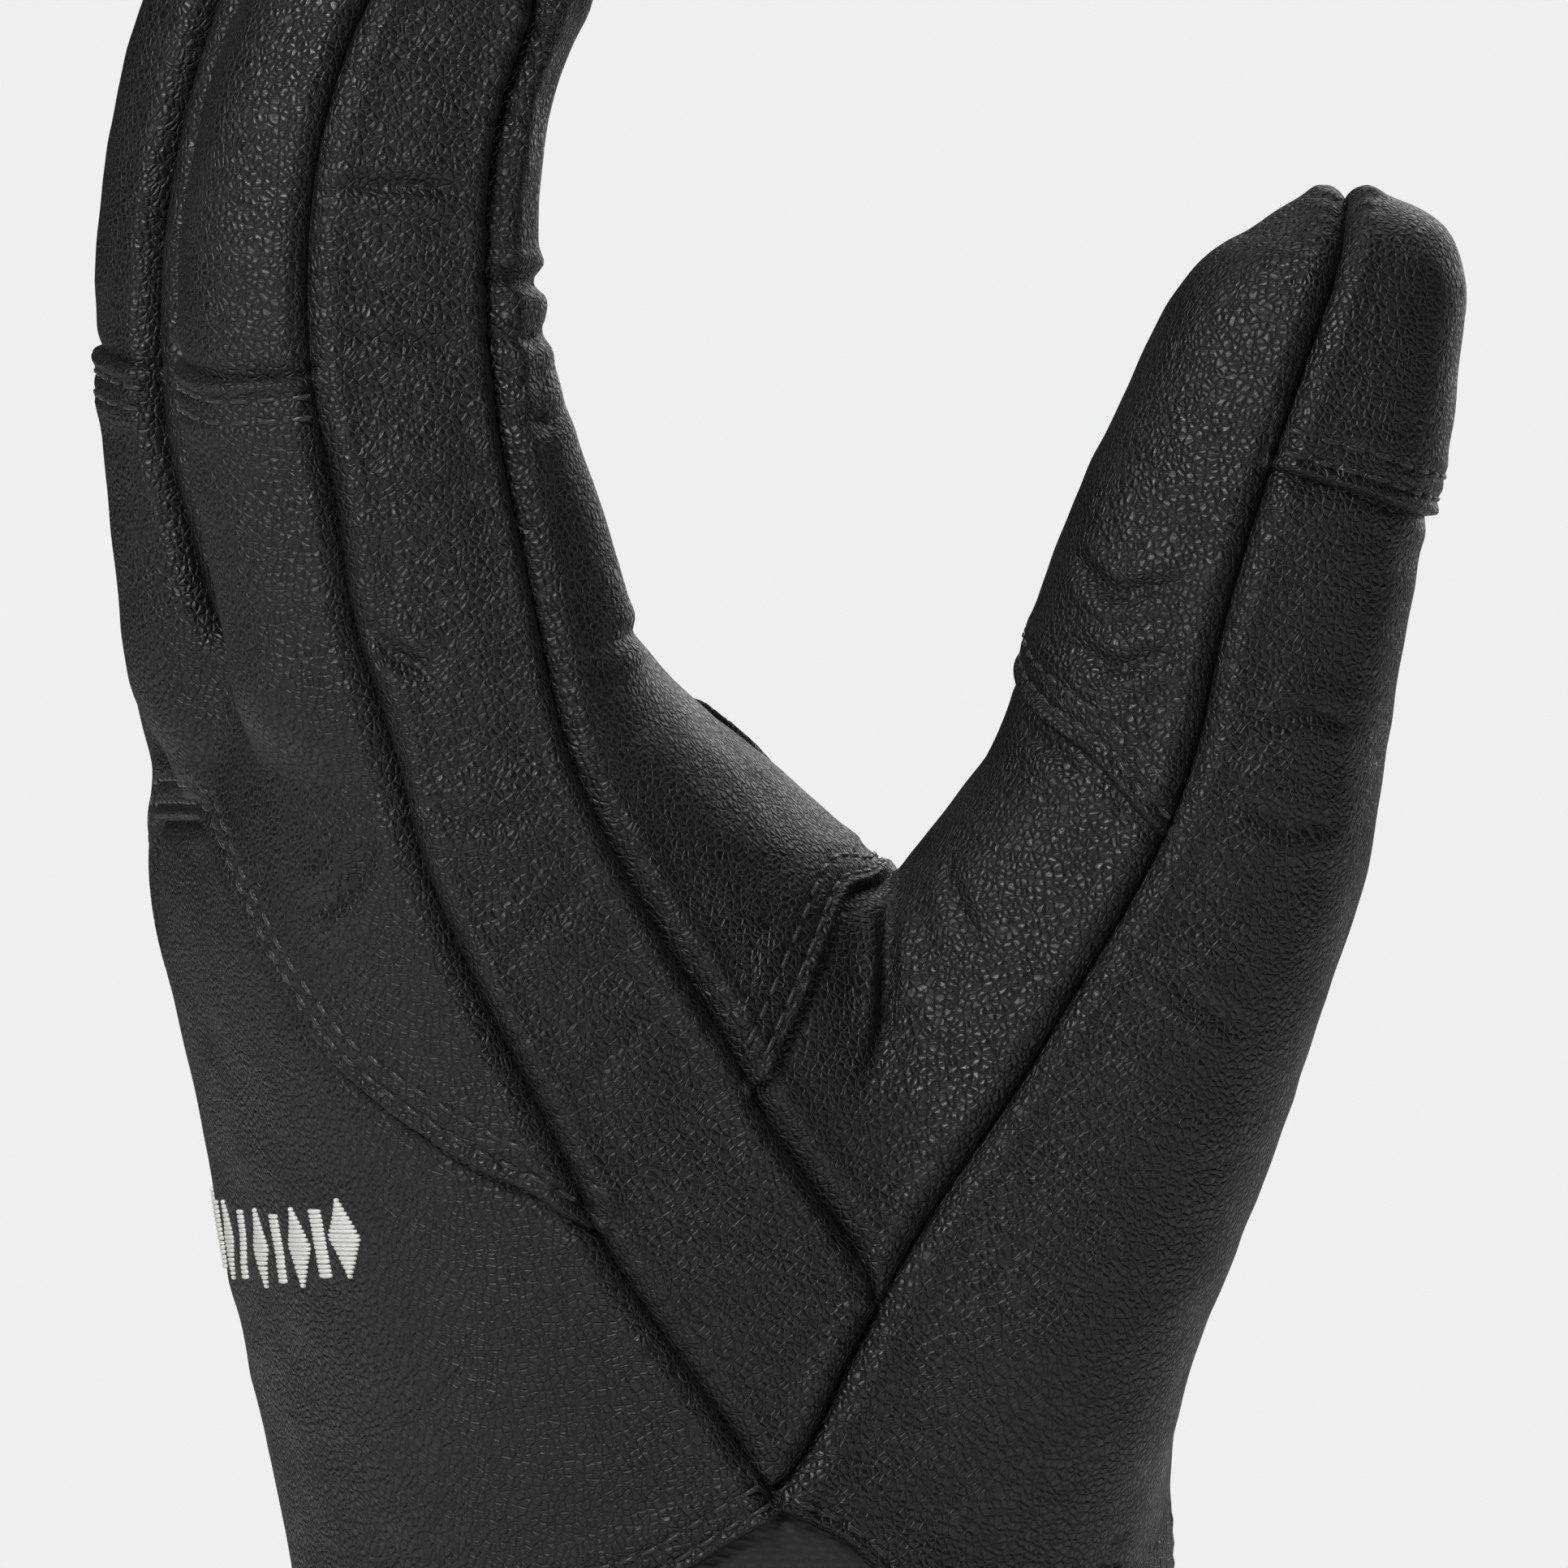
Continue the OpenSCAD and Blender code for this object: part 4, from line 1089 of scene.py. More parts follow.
# a place on each panel: name -> (tube, station, angle)
PROBES = {
    "index_side_strip": ("index", 1.2, 172), "back": ("middle", 0.3, 270), "yoke": hz(110, 260),
    "insert": hz(66, 193),
    "index_back_tip": ("index", 2.2, 270), "middle_back_tip": ("middle", 2.2, 270),
    "ring_back_tip": ("ring", 2.2, 270), "little_back_tip": ("little", 2.2, 270),
    "side_index_middle": ("index", 1.4, 350), "side_middle_ring": ("middle", 1.4, 350),
    "side_ring_little": ("ring", 1.4, 350), "little_side_strip": ("little", 1.4, 350),
    "palm": ("middle", 1.5, 90), "palm_patch": hz(120, 55), "thumb_back": ("thumb", 3.6, 90),
    "thumb_back_tip": ("thumb", 6, 90),
    "gusset": ("thumb", 3.0, 290), "thumb_pad_tip": ("thumb", 5.5, 270),
}
CENT = V[F].mean(1)
PANEL = {}
for name, c in PROBES.items():
    PANEL[name] = int(label[np.linalg.norm(CENT - TUBES[c[0]].point(c[1], c[2])[0], axis=1).argmin()])
if len(set(PANEL.values())) != len(PANEL):
    print("PANELS JOINED", sorted(PANEL.items(), key=lambda x: x[1]))
# slivers that no probe names join the panel that most of their faces lie nearest to
named = np.isin(label, list(PANEL.values()))
near = kdtree.KDTree(int(named.sum()))
for f_ in np.flatnonzero(named):
    near.insert(CENT[f_], int(label[f_]))
near.balance()
for lost in np.unique(label[~named]):
    mine = np.flatnonzero(label == lost)
    votes = [near.find(CENT[f_])[1] for f_ in mine]
    label[mine] = max(set(votes), key=votes.count)

# where each moving part starts: (tube, start station, end station, body before, body after)
# the little finger starts to bend higher, above its web with the ring finger
SPLIT = {f: FS[f] - 0.36 for f in FINGERS}
HINGES = {f: [(0.34 if f == "little" else 0.08, SPLIT[f] - 0.05, "hand", f + "_lower"),
    (SPLIT[f] + 0.05, FS[f] + 0.35, f + "_lower", f + "_upper")] for f in FINGERS}
HINGES["thumb"] = [(2.8, 3.5, "hand", "thumb_lower"), (3.95, 4.9, "thumb_lower", "thumb_upper")]
PLANES = {}
for n, rows in HINGES.items():
    PLANES[n] = []
    for a, b, body_a, body_b in rows:
        PLANES[n].append((TUBES[n].centre(a), TUBES[n].centre(b), body_a, body_b))


def part_of(points, tubes):
    """0 for the hand, or 1 + 2 * tube + (0 lower, 1 upper), for each point."""
    out = np.zeros(len(points), int)
    for k, n in enumerate(ORDER):
        if n == "hand":
            continue
        mine = tubes == k
        (a1, b1, _, _), (a2, b2, _, _) = PLANES[n]
        w1, w2 = dot(points - a1, b1 - a1) > 0, dot(points - a2, b2 - a2) > 0
        out[mine & w1] = 1 + 2 * k
        out[mine & w1 & w2] = 2 + 2 * k
    return out


def part_name(part):
    """hand, or a finger's name with _lower or _upper."""
    return "hand" if part == 0 else ORDER[(part - 1) // 2] + ("_lower" if part % 2 else "_upper")


def fasten(obj, part):
    """Attach a piece of the hand (part 0) to the hand body; any other piece only has its transform baked."""
    if part == 0:
        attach(obj, "hand")
        return
    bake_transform(obj)


def side_signs(f, used_index, cnt):
    """For each vertex on a seam, which side of the seam this panel lies on."""
    side = np.zeros((cnt, len(SEAMS)), int)
    c = V[f].mean(1)
    n = unit(N[f].mean(1))
    fi = used_index[f]
    for k in range(len(SEAMS)):
        hit = on[f, k].any(1)
        if not hit.any():
            continue
        x = SEAMS[k].local(c[hit], n[hit])[0]
        acc = np.zeros(cnt)
        for q in range(3):
            m = on[f[hit, q], k]
            acc += np.bincount(fi[hit, q][m], x[m], cnt)
        side[:, k] = np.sign(acc)
    return side


REPLACES = {
    ("index_side_strip", 0): ["index_side_strip"], ("back", 0): ["knuckle_panel"], ("yoke", 0): ["back_yoke"],
    ("insert", 0): ["wrist_stretch_insert"],
    ("little_side_strip", 0): ["little_side_strip"], ("palm", 0): ["palm_panel"], ("palm_patch", 0): ["palm_patch"],
    ("thumb_back", 0): ["thumb_mound_panel"], ("gusset", 0): ["thumb_web_gusset"],
    ("thumb_back", 11): ["thumb_back_base"], ("gusset", 11): ["thumb_pad_base"],
    ("thumb_back_tip", 12): ["thumb_back_tip"], ("thumb_pad_tip", 12): ["thumb_pad_tip"],
}
for k, f in enumerate(FINGERS):
    REPLACES[("back", 1 + 2 * k)] = [f + "_back_base"]
    REPLACES[(f + "_back_tip", 2 + 2 * k)] = [f + "_back_tip"]
    REPLACES[("palm", 1 + 2 * k)] = [f + "_palm_base"]
    REPLACES[("palm", 2 + 2 * k)] = [f + "_palm_tip"]
    side_panel = "little_side_strip" if f == "little" else "side_%s_%s" % (f, NEXT[f])
    REPLACES[(side_panel, 1 + 2 * k)] = [f + "_sides_base"]
    REPLACES[(side_panel, 2 + 2 * k)] = [f + "_sides_tip"]

BY_LABEL = {v: k for k, v in PANEL.items()}
done = []
for lab in np.unique(label):
    f = F[label == lab]
    panel = BY_LABEL[int(lab)]
    used = np.unique(f)
    index = np.zeros(len(V), int)
    index[used] = np.arange(len(used))
    h = relief(V[used], N[used], side_signs(f, index, len(used)),
        INSERT_PUFF if panel == "insert" else LEATHER_PUFF)
    hem = np.clip(V[used, 2] - LEATHER_EDGE, 0, None)
    h -= 0.9 * np.exp(-hem / 0.8) * (V[used, 2] < 70)
    outer = np.zeros_like(V)
    outer[used] = V[used] + N[used] * h[:, None]
    normals = np.zeros_like(V)
    normals[used] = vertex_normals(outer[used], index[f])
    vp = np.zeros(len(V), int)
    vp[used] = part_of(V[used], tube[used])
    fp = vp[f].max(1)
    for part in np.unique(fp):
        sub = f[fp == part]
        if len(sub) < 12:
            continue
        name = "wrist_insert_cloth" if panel == "insert" else "%s_%s_leather" % (panel, part_name(part))
        Hfull = np.zeros(len(V))
        Hfull[used] = h
        obj = closed_piece(name, V, N, Hfull, sub, normals, LEATHER_THICK,
            STRETCH if panel == "insert" else LEATHER)
        fasten(obj, part)
        nodes = REPLACES.get((panel, int(part)))
        if nodes:
            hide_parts(*nodes)
            done += nodes
wanted = sorted(set(sum(REPLACES.values(), [])) - set(done))
if wanted:
    print("NOT REPLACED", wanted)


# ---------------------------------------------------------------- thread: stitches and satin embroidery
def threads(name, P, D, U, length, radius, mat, flat=1.0, dip=0.35):
    """One mesh of short threads: centres P, directions D, up vectors U, each sinking into the leather at its ends."""
    P, D, U = np.asarray(P), unit(np.asarray(D)), unit(np.asarray(U))
    length = np.broadcast_to(length, len(P))
    S = unit(np.cross(D, U))
    U = np.cross(S, D)
    rings = [(-0.5, 0.55, -1.0), (-0.38, 0.92, -0.35), (-0.16, 1.0, 0.0), (0.16, 1.0, 0.0), (0.38, 0.92, -0.35),
        (0.5, 0.55, -1.0)]
    sides = 6
    a = np.arange(sides) * 2 * np.pi / sides
    verts = []
    per = sides * len(rings)
    for x, r, drop in rings:
        c = P + D * (x * length)[:, None] + U * (drop * dip)
        for q in a:
            verts.append(c + S * (math.cos(q) * radius * r) + U * (math.sin(q) * radius * flat * r))
    W = np.stack(verts, 1).reshape(-1, 3)
    base = []
    for i in range(len(rings) - 1):
        for j in range(sides):
            k = (j + 1) % sides
            p, q, r_, s_ = i * sides + j, i * sides + k, (i + 1) * sides + k, (i + 1) * sides + j
            base += [(p, q, r_), (p, r_, s_)]
    for j in range(1, sides - 1):
        base += [(0, j + 1, j), (per - sides, per - sides + j, per - sides + j + 1)]
    base = np.array(base)[:, ::-1]
    faces = (base[None] + (np.arange(len(P)) * per)[:, None, None]).reshape(-1, 3)
    return new_object(name, W, faces, mat)


def on_leather(P):
    """Put points on the finished leather: returns place, base normal and tube."""
    P = project(P, 3)
    n = unit(gradient(P)[1])
    t = field(P, True)[1]
    return P + n * relief(P, n)[:, None], n, t


stitch_P, stitch_D, stitch_U, stitch_part = [], [], [], []
for s in SEAMS:
    if s.kind != "lap":
        continue
    over = s.inner if s.closed else s.over
    other = np.concatenate([q.P for q in SEAMS if q is not s and q.kind in ("in", "lap")])
    for row in s.rows:
        count = int(s.S[-1] / STITCH)
        at_s = (np.arange(count) + 0.5) * STITCH
        i = np.clip(np.searchsorted(s.S, at_s), 0, len(s.P) - 1)
        across = unit(np.cross(s.N[i], s.T[i]))
        p = s.P[i] + across * over * row
        d = s.T[i]
        P1, n1, t1 = on_leather(p)
        keep = (np.linalg.norm(P1[:, None] - other[None], axis=2).min(1) > 1.3) & (P1[:, 2] > 63)
        stitch_P.append(P1[keep] + n1[keep] * 0.05)
        stitch_D.append(d[keep])
        stitch_U.append(n1[keep])
        stitch_part.append(part_of(P1[keep], t1[keep]))
stitch_P, stitch_D, stitch_U, stitch_part = map(np.concatenate, (stitch_P, stitch_D, stitch_U, stitch_part))
for part in np.unique(stitch_part):
    m = stitch_part == part
    tag = part_name(part)
    obj = threads("stitching_%s_thread" % tag, stitch_P[m], stitch_D[m], stitch_U[m], 2.35, 0.27, THREAD)
    fasten(obj, int(part))

# a band of satin-stitched diamonds and bars across the back
satin = []  # for each thread: angle, height and half length
for k in range(11):
    phi0 = 238 + 6.5 * k
    diamond = k % 2 == 0
    half = 3.0 if diamond else 1.3
    tall = 4.5 if diamond else 3.4
    n_rows = int(2 * tall / 0.46)
    for j in range(n_rows + 1):
        v = -tall + 2 * tall * j / n_rows
        w = half * (1 - abs(v) / tall) if diamond else half
        if w < 0.25:
            continue
        satin.append((phi0, v, w))
rows_ = np.array(satin)
base_pts = TUBES["hand"].point(np.full(len(rows_), np.interp(EMBLEM_Z, HAND_Z, range(7))), rows_[:, 0])
base_pts = project(base_pts, 2)
bn = unit(gradient(base_pts)[1])
down = unit(np.array([0, 0, 1.0]) - bn * bn[:, 2:3])
cross_dir = unit(np.cross(bn, down))
pts = base_pts + down * rows_[:, 1:2]
pe, ne, _ = on_leather(pts)
obj = threads("back_emblem_satin_thread", pe + ne * 0.22, cross_dir, ne, rows_[:, 2] * 2, 0.27, WHITE, flat=0.8,
    dip=0.3)
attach(obj, "hand")
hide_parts("back_emblem")


# ---------------------------------------------------------------- the layers inside
LV, LF = surface_net(3.4)
LV = relax(project(LV, 2), LF, 5)
LV, LF = refine(LV, LF, lambda m: np.full(len(m), 2.7))
LV, LF = trim(LV, LF, LAYER_EDGE)
LN = unit(gradient(LV)[1])
_, ltube, _, _ = field(LV, True)
lfp = part_of(LV, ltube)[LF].max(1)


def layer(name, depth, thick, mat, parts, rough=0.0, nodes=()):
    H = rough * value_noise(LV, 5.0, 4) if rough else np.zeros(len(LV))
    W = LV - LN * depth
    norm = vertex_normals(W + LN * H[:, None], LF)
    sel = LF[np.isin(lfp, parts)]
    obj = closed_piece(name, W, LN, H, sel, norm, thick, mat)
    fasten(obj, parts[0])
    if nodes:
        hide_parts(*nodes)
    return obj


layer("hand_membrane_film", 2.0, 0.12, MEMBRANE, [0], nodes=["hand_membrane"])
layer("hand_insulation_wadding", 2.45, 1.25, INSULATION, [0], 0.25, ["hand_insulation"])
layer("hand_lining_fleece", 4.05, 0.7, FLEECE, [0], 0.15, ["hand_lining"])
for k, n in enumerate(ORDER):
    if n == "hand":
        continue
    layer(n + "_liner_lower_fleece", 2.2, 1.6, FLEECE, [1 + 2 * k], 0.12, [n + "_liner"])
    layer(n + "_liner_upper_fleece", 2.2, 1.6, FLEECE, [2 + 2 * k], 0.12)


# ---------------------------------------------------------------- the cuff, closure and labels
def polar(r, az, z):
    a = np.radians(az)
    return np.stack([r * np.cos(a), r * np.sin(a), z], -1)


def ring(name, section, count, mat, wave=None, body="hand", nodes=()):
    """A closed section of (radius, z) points turned round the cuff. wave(az, r, z) moves a point outwards."""
    sec = np.array(section, float)
    az = np.arange(count) * 360.0 / count
    A, R = np.meshgrid(az, sec[:, 0], indexing="ij")
    Z = np.broadcast_to(sec[:, 1], A.shape)
    if wave is not None:
        R = R + wave(A, R, Z)
    Wv = polar(R, A, Z).reshape(-1, 3)
    m = len(sec)
    i, j = np.meshgrid(np.arange(count), np.arange(m), indexing="ij")
    a = (i * m + j).ravel()
    b = (((i + 1) % count) * m + j).ravel()
    c = (((i + 1) % count) * m + (j + 1) % m).ravel()
    d = (i * m + (j + 1) % m).ravel()
    obj = new_object(name, Wv, np.stack([a, b, c, d], 1), mat)
    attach(obj, body)
    if nodes:
        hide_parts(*nodes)
    return obj


def wall(r_in, r_out, z0, z1, n):
    """A wall section with rounded ends, outer side first going up."""
    z = np.linspace(z0, z1, n)
    f = (z - z0) / (z1 - z0)
    ro = np.interp(f, [0, 1], [r_out[0], r_out[1]])
    ri = np.interp(f, [0, 1], [r_in[0], r_in[1]])
    rnd = np.minimum(np.minimum(z - z0, z1 - z) / 0.6, 1)
    soft = 0.5 * (ro - ri) * (1 - np.sqrt(1 - (1 - rnd) ** 2))
    return [(a, b) for a, b in zip(ro - soft, z)] + [(a, b) for a, b in zip((ri + soft)[::-1], z[::-1])]


def cuff_wave(A, R, Z):
    a = np.radians(A)
    P = np.stack([np.cos(a) * 46, np.sin(a) * 46, Z], -1).reshape(-1, 3)
    big = value_noise(P * np.array([1, 1, 1.6]), 16.0, 8).reshape(A.shape)
    mid = value_noise(P * np.array([1, 1, 2.0]), 7.0, 9).reshape(A.shape)
    strap = np.clip(1 - np.abs(Z - 34) / 15, 0, 1) * 0.25
    edge = step01(Z, 4, 12) * step01(60.6 - Z, 0.0, 5)
    gather = 0.22 * np.cos(np.radians(A * 46)) * np.exp(-((Z - 50) / 6) ** 2)
    return edge * (0.3 * big + 0.12 * mid + gather - strap)


ring("cuff_sleeve_cloth", wall((44.9, 43.2), (46.0, 44.4), 1.4, 60.6, 70), 360,
    SOFTSHELL, cuff_wave, "hand", ["cuff_sleeve"])


def hem_wave(A, R, Z):
    rib = 0.07 * np.cos(np.radians(A * 120)) + 0.05 * np.cos(2 * np.pi * Z / 1.3)
    return np.where(R > 45, rib, 0)


hem = []
for q in np.linspace(0, 2 * np.pi, 28, endpoint=False):
    r_ = 44.6 + 2.5 * np.sign(np.cos(q)) * abs(np.cos(q)) ** 0.55
    z_ = 3.25 + 3.2 * np.sign(np.sin(q)) * abs(np.sin(q)) ** 0.5
    hem.append((r_, z_))
ring("cuff_hem_binding_cloth", hem, 480, BINDING, hem_wave, "hand",
    ["cuff_hem_binding"])


def fleece_wave(A, R, Z):
    a = np.radians(A)
    P = np.stack([np.cos(a) * 42, np.sin(a) * 42, Z], -1).reshape(-1, 3)
    return 0.12 * value_noise(P, 3.0, 12).reshape(A.shape)


ring("cuff_lining_fleece", wall((43.1, 40.3), (43.9, 41.1), 3.0, 60.0, 46), 240,
    FLEECE, fleece_wave, "hand", ["cuff_lining"])


def elastic_wave(A, R, Z):
    return 0.12 * np.cos(2 * np.pi * (Z - 46) / 1.6) + 0.1 * np.cos(np.radians(A * 90))


ring("wrist_elastic_band", wall((42.35, 42.35), (42.95, 42.95), 46, 54, 24), 420, ELASTIC,
    elastic_wave, "hand", ["wrist_elastic"])


def slab_faces(nu, nv):
    """Quads of a closed slab: an outer grid of nu by nv points, the inner grid, and the rim between them."""
    m = nu * nv
    i, j = np.meshgrid(np.arange(nu - 1), np.arange(nv - 1), indexing="ij")
    a, b = (i * nv + j).ravel(), ((i + 1) * nv + j).ravel()
    c, d = b + 1, a + 1
    rim = [(k, 0) for k in range(nu)] + [(nu - 1, k) for k in range(1, nv)]
    rim += [(k, nv - 1) for k in range(nu - 2, -1, -1)] + [(0, k) for k in range(nv - 2, 0, -1)]
    ids = np.array([p * nv + q for p, q in rim])
    nxt = np.roll(ids, -1)
    walls = np.stack([nxt, ids, ids + m, nxt + m], 1)
    return np.concatenate([np.stack([a, b, c, d], 1), np.stack([d, c, b, a], 1) + m, walls])


def plate(name, az0, az1, z0, z1, r_in, thick, mat, body, nodes=(), corner=3.0, ends=(True, True),
        texture=None, crown=0.0, step=0.9, edge=0.5):
    """A curved plate on the cuff with rounded corners and softened edges."""
    arc = math.radians(az1 - az0) * (r_in + thick)
    nu, nv = max(8, int(arc / step)), max(6, int((z1 - z0) / step))
    u = 0.5 - 0.5 * np.cos(np.linspace(0, np.pi, nu)) if nu < 24 else np.linspace(0, 1, nu)
    v = np.linspace(-1, 1, nv)
    Ug, Vg = np.meshgrid(u, v, indexing="ij")
    du0, du1 = Ug * arc, (1 - Ug) * arc
    half = (z1 - z0) / 2
    cut_ = np.zeros_like(Ug)
    for on_, d in ((ends[0], du0), (ends[1], du1)):
        if on_:
            x = np.clip((corner - d) / corner, 0, 1)
            cut_ = np.maximum(cut_, corner * (1 - np.sqrt(1 - x * x)))
    Zg = (z0 + z1) / 2 + Vg * (half - cut_)
    dist = np.minimum(np.minimum(du0, du1), (1 - np.abs(Vg)) * (half - cut_ * 0.5))
    soft = thick * 0.42 * (1 - np.clip(dist / edge, 0, 1)) ** 2
    Ag = az0 + Ug * (az1 - az0)
    outer = r_in + thick - soft + crown * (1 - np.exp(-dist / 3.0))
    if texture is not None:
        outer = outer + texture(Ag, Zg, dist) * np.clip(dist / 0.8, 0, 1)
    inner = r_in + soft
    Wv = np.concatenate([polar(outer, Ag, Zg).reshape(-1, 3), polar(inner, Ag, Zg).reshape(-1, 3)])
    obj = new_object(name, Wv, slab_faces(nu, nv), mat)
    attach(obj, body)
    if nodes:
        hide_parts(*nodes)
    return obj


def loops(A, Z, dist):
    return 0.16 * np.cos(2 * np.pi * A * 0.82 / 1.0) * np.cos(2 * np.pi * Z / 1.1) + 0.08 * np.sin(A * 9.1 + Z
        * 7.7)


def cord_rib(A, Z, dist):
    return 0.06 * np.cos(2 * np.pi * Z / 1.5) + 0.04 * np.cos(2 * np.pi * A * 0.85 / 2.0)


def grain_wave(A, Z, dist):
    a = np.radians(A)
    P = np.stack([48 * np.cos(a), 48 * np.sin(a), Z], -1).reshape(-1, 3)
    row = -0.16 * np.exp(-(((dist - 2.0) / 0.5) ** 2))
    return 0.12 * value_noise(P, 9.0, 15).reshape(A.shape) + row


fine_step = 0.45
plate("strap_loop_patch_pile", 208, 262, 23.5, 44.5, 46.0, 0.7, HOOK, "hand", ["strap_loop_patch"],
    2.5, texture=loops, step=fine_step)
plate("strap_hook_patch_pile", 210, 250, 24, 44, 47.0, 0.7, HOOK, "wrist_strap",
    ["strap_hook_patch"], 2.5, texture=loops, step=fine_step)
plate("strap_flap_leather", 205, 296, 22, 46, 48.0, 1.35, LEATHER, "wrist_strap", ["strap_flap"],
    7.0, (True, False), grain_wave, 0.15, 0.6, 0.7)
plate("strap_anchor_leather", 298.5, 345, 22, 46, 46.3, 2.6, LEATHER, "hand", ["strap_anchor"],
    4.0, (False, True), grain_wave, 0.3, 0.6, 1.1)
plate("strap_pull_tab_rubber", 196, 204.8, 26, 42, 48.05, 1.7, RUBBER, "wrist_strap",
    ["strap_pull_tab"], 4.0, (True, False), lambda A, Z, dist: 0.22 * np.clip(np.cos(2 * np.pi * Z / 2.4), -0.2, 1),
    0.0, 0.35, 0.6)
plate("size_label_cloth", 172, 188, 10, 26, 41.0, 0.45, LABEL, "hand", ["size_label"], 0.6,
    texture=cord_rib, step=0.6)


def edge_stitches(name, az0, az1, z0, z1, r, inset, body, close_ends=(True, True)):
    path = []
    k = math.degrees(1 / r)
    a0, a1 = az0 + inset * k * close_ends[0], az1 - inset * k * close_ends[1]
    for z in (z0 + inset, z1 - inset):
        n = int((a1 - a0) / k / STITCH)
        for q in range(n):
            path.append((a0 + 3 * k + (a1 - a0 - 6 * k) * q / max(n - 1, 1), z, 0))
    for a, on_ in ((a0, close_ends[0]), (a1, close_ends[1])):
        if on_:
            n = int((z1 - z0 - 2 * inset - 6) / STITCH) + 1
            for q in range(n):
                path.append((a, z0 + inset + 3 + (z1 - z0 - 2 * inset - 6) * q / max(n - 1, 1), 1))
    path = np.array(path)
    p = polar(r, path[:, 0], path[:, 1])
    up = polar(1.0, path[:, 0], 0 * path[:, 1])
    tang = polar(1.0, path[:, 0] + 90, 0 * path[:, 1])
    d = np.where(path[:, 2:3] > 0, np.array([[0, 0, 1.0]]), tang)
    o = threads(name, p, d, up, 2.3, 0.24, THREAD)
    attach(o, body)


edge_stitches("strap_flap_thread", 205, 296, 22, 46, 49.32, 2.0, "wrist_strap", (True, False))
edge_stitches("strap_anchor_thread", 298.5, 345, 22, 46, 49.0, 2.0, "hand", (False, True))


# a tape closes the joint between the sleeve and the leather: it follows the sleeve below and the hand above
def hand_radius(A, Z):
    """Distance from the upright axis to the skin, at azimuths A and heights Z."""
    a = np.radians(A.ravel())
    r = np.full(a.shape, 62.0)
    for _ in range(24):
        P = np.stack([r * np.cos(a), r * np.sin(a), np.maximum(Z.ravel(), 62.0)], -1)
        r = r - np.clip(field(P), -3, 3) * 0.8
    return r.reshape(A.shape)


def join_wave(A, R, Z):
    return step01(Z, 59.0, 62.0) * (hand_radius(A, Z) - 44.4)


ring("cuff_join_tape", wall((42.5, 42.5), (42.9, 42.9), 55.0, 64.0, 36), 300,
    SOFTSHELL, join_wave, "hand")
# the row that sews the sleeve to the leather
az = np.arange(0, 360, 3.6)
o = threads("cuff_join_thread", polar(44.85 + 0 * az, az, 58.4 + 0 * az), polar(1 + 0 * az, az + 90, 0 * az),
    polar(1 + 0 * az, az, 0 * az), 2.2, 0.22, THREAD)
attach(o, "hand")

# foam under the knuckles
lo, hi = [np.array(x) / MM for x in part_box("knuckle_foam")]
nu, nv = ((60, 40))
u, v = np.meshgrid(np.linspace(-1, 1, nu), np.linspace(-1, 1, nv), indexing="ij")
yy = (lo[1] + hi[1]) / 2 + u * (hi[1] - lo[1]) / 2 * 0.97
zz = (lo[2] + hi[2]) / 2 + v * (hi[2] - lo[2]) / 2 * 0.94
P = np.stack([0 * yy.ravel() - 90, yy.ravel(), zz.ravel()], 1)
xs = np.full(len(P), -75.0)
for _ in range(14):
    P[:, 0] = xs
    xs = xs + np.clip(field(P), -3, 3) * 0.8
P[:, 0] = xs
n = unit(gradient(P)[1])
edge_ = np.minimum(1 - np.abs(u), (1 - np.abs(v)) * (hi[2] - lo[2]) / (hi[1] - lo[1])).ravel()
body_t = 1.0 + 1.1 * (1 - np.exp(-edge_ / 0.12)) + 0.12 * value_noise(P, 4.0, 21)
top = P - n * 2.35
bottom = P - n * (2.35 + 0.8 * body_t)[:, None]
foam = new_object("knuckle_foam_pad", np.concatenate([top, bottom]), slab_faces(nu, nv)[:, ::-1], FOAM)
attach(foam, "hand")
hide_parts("knuckle_foam")


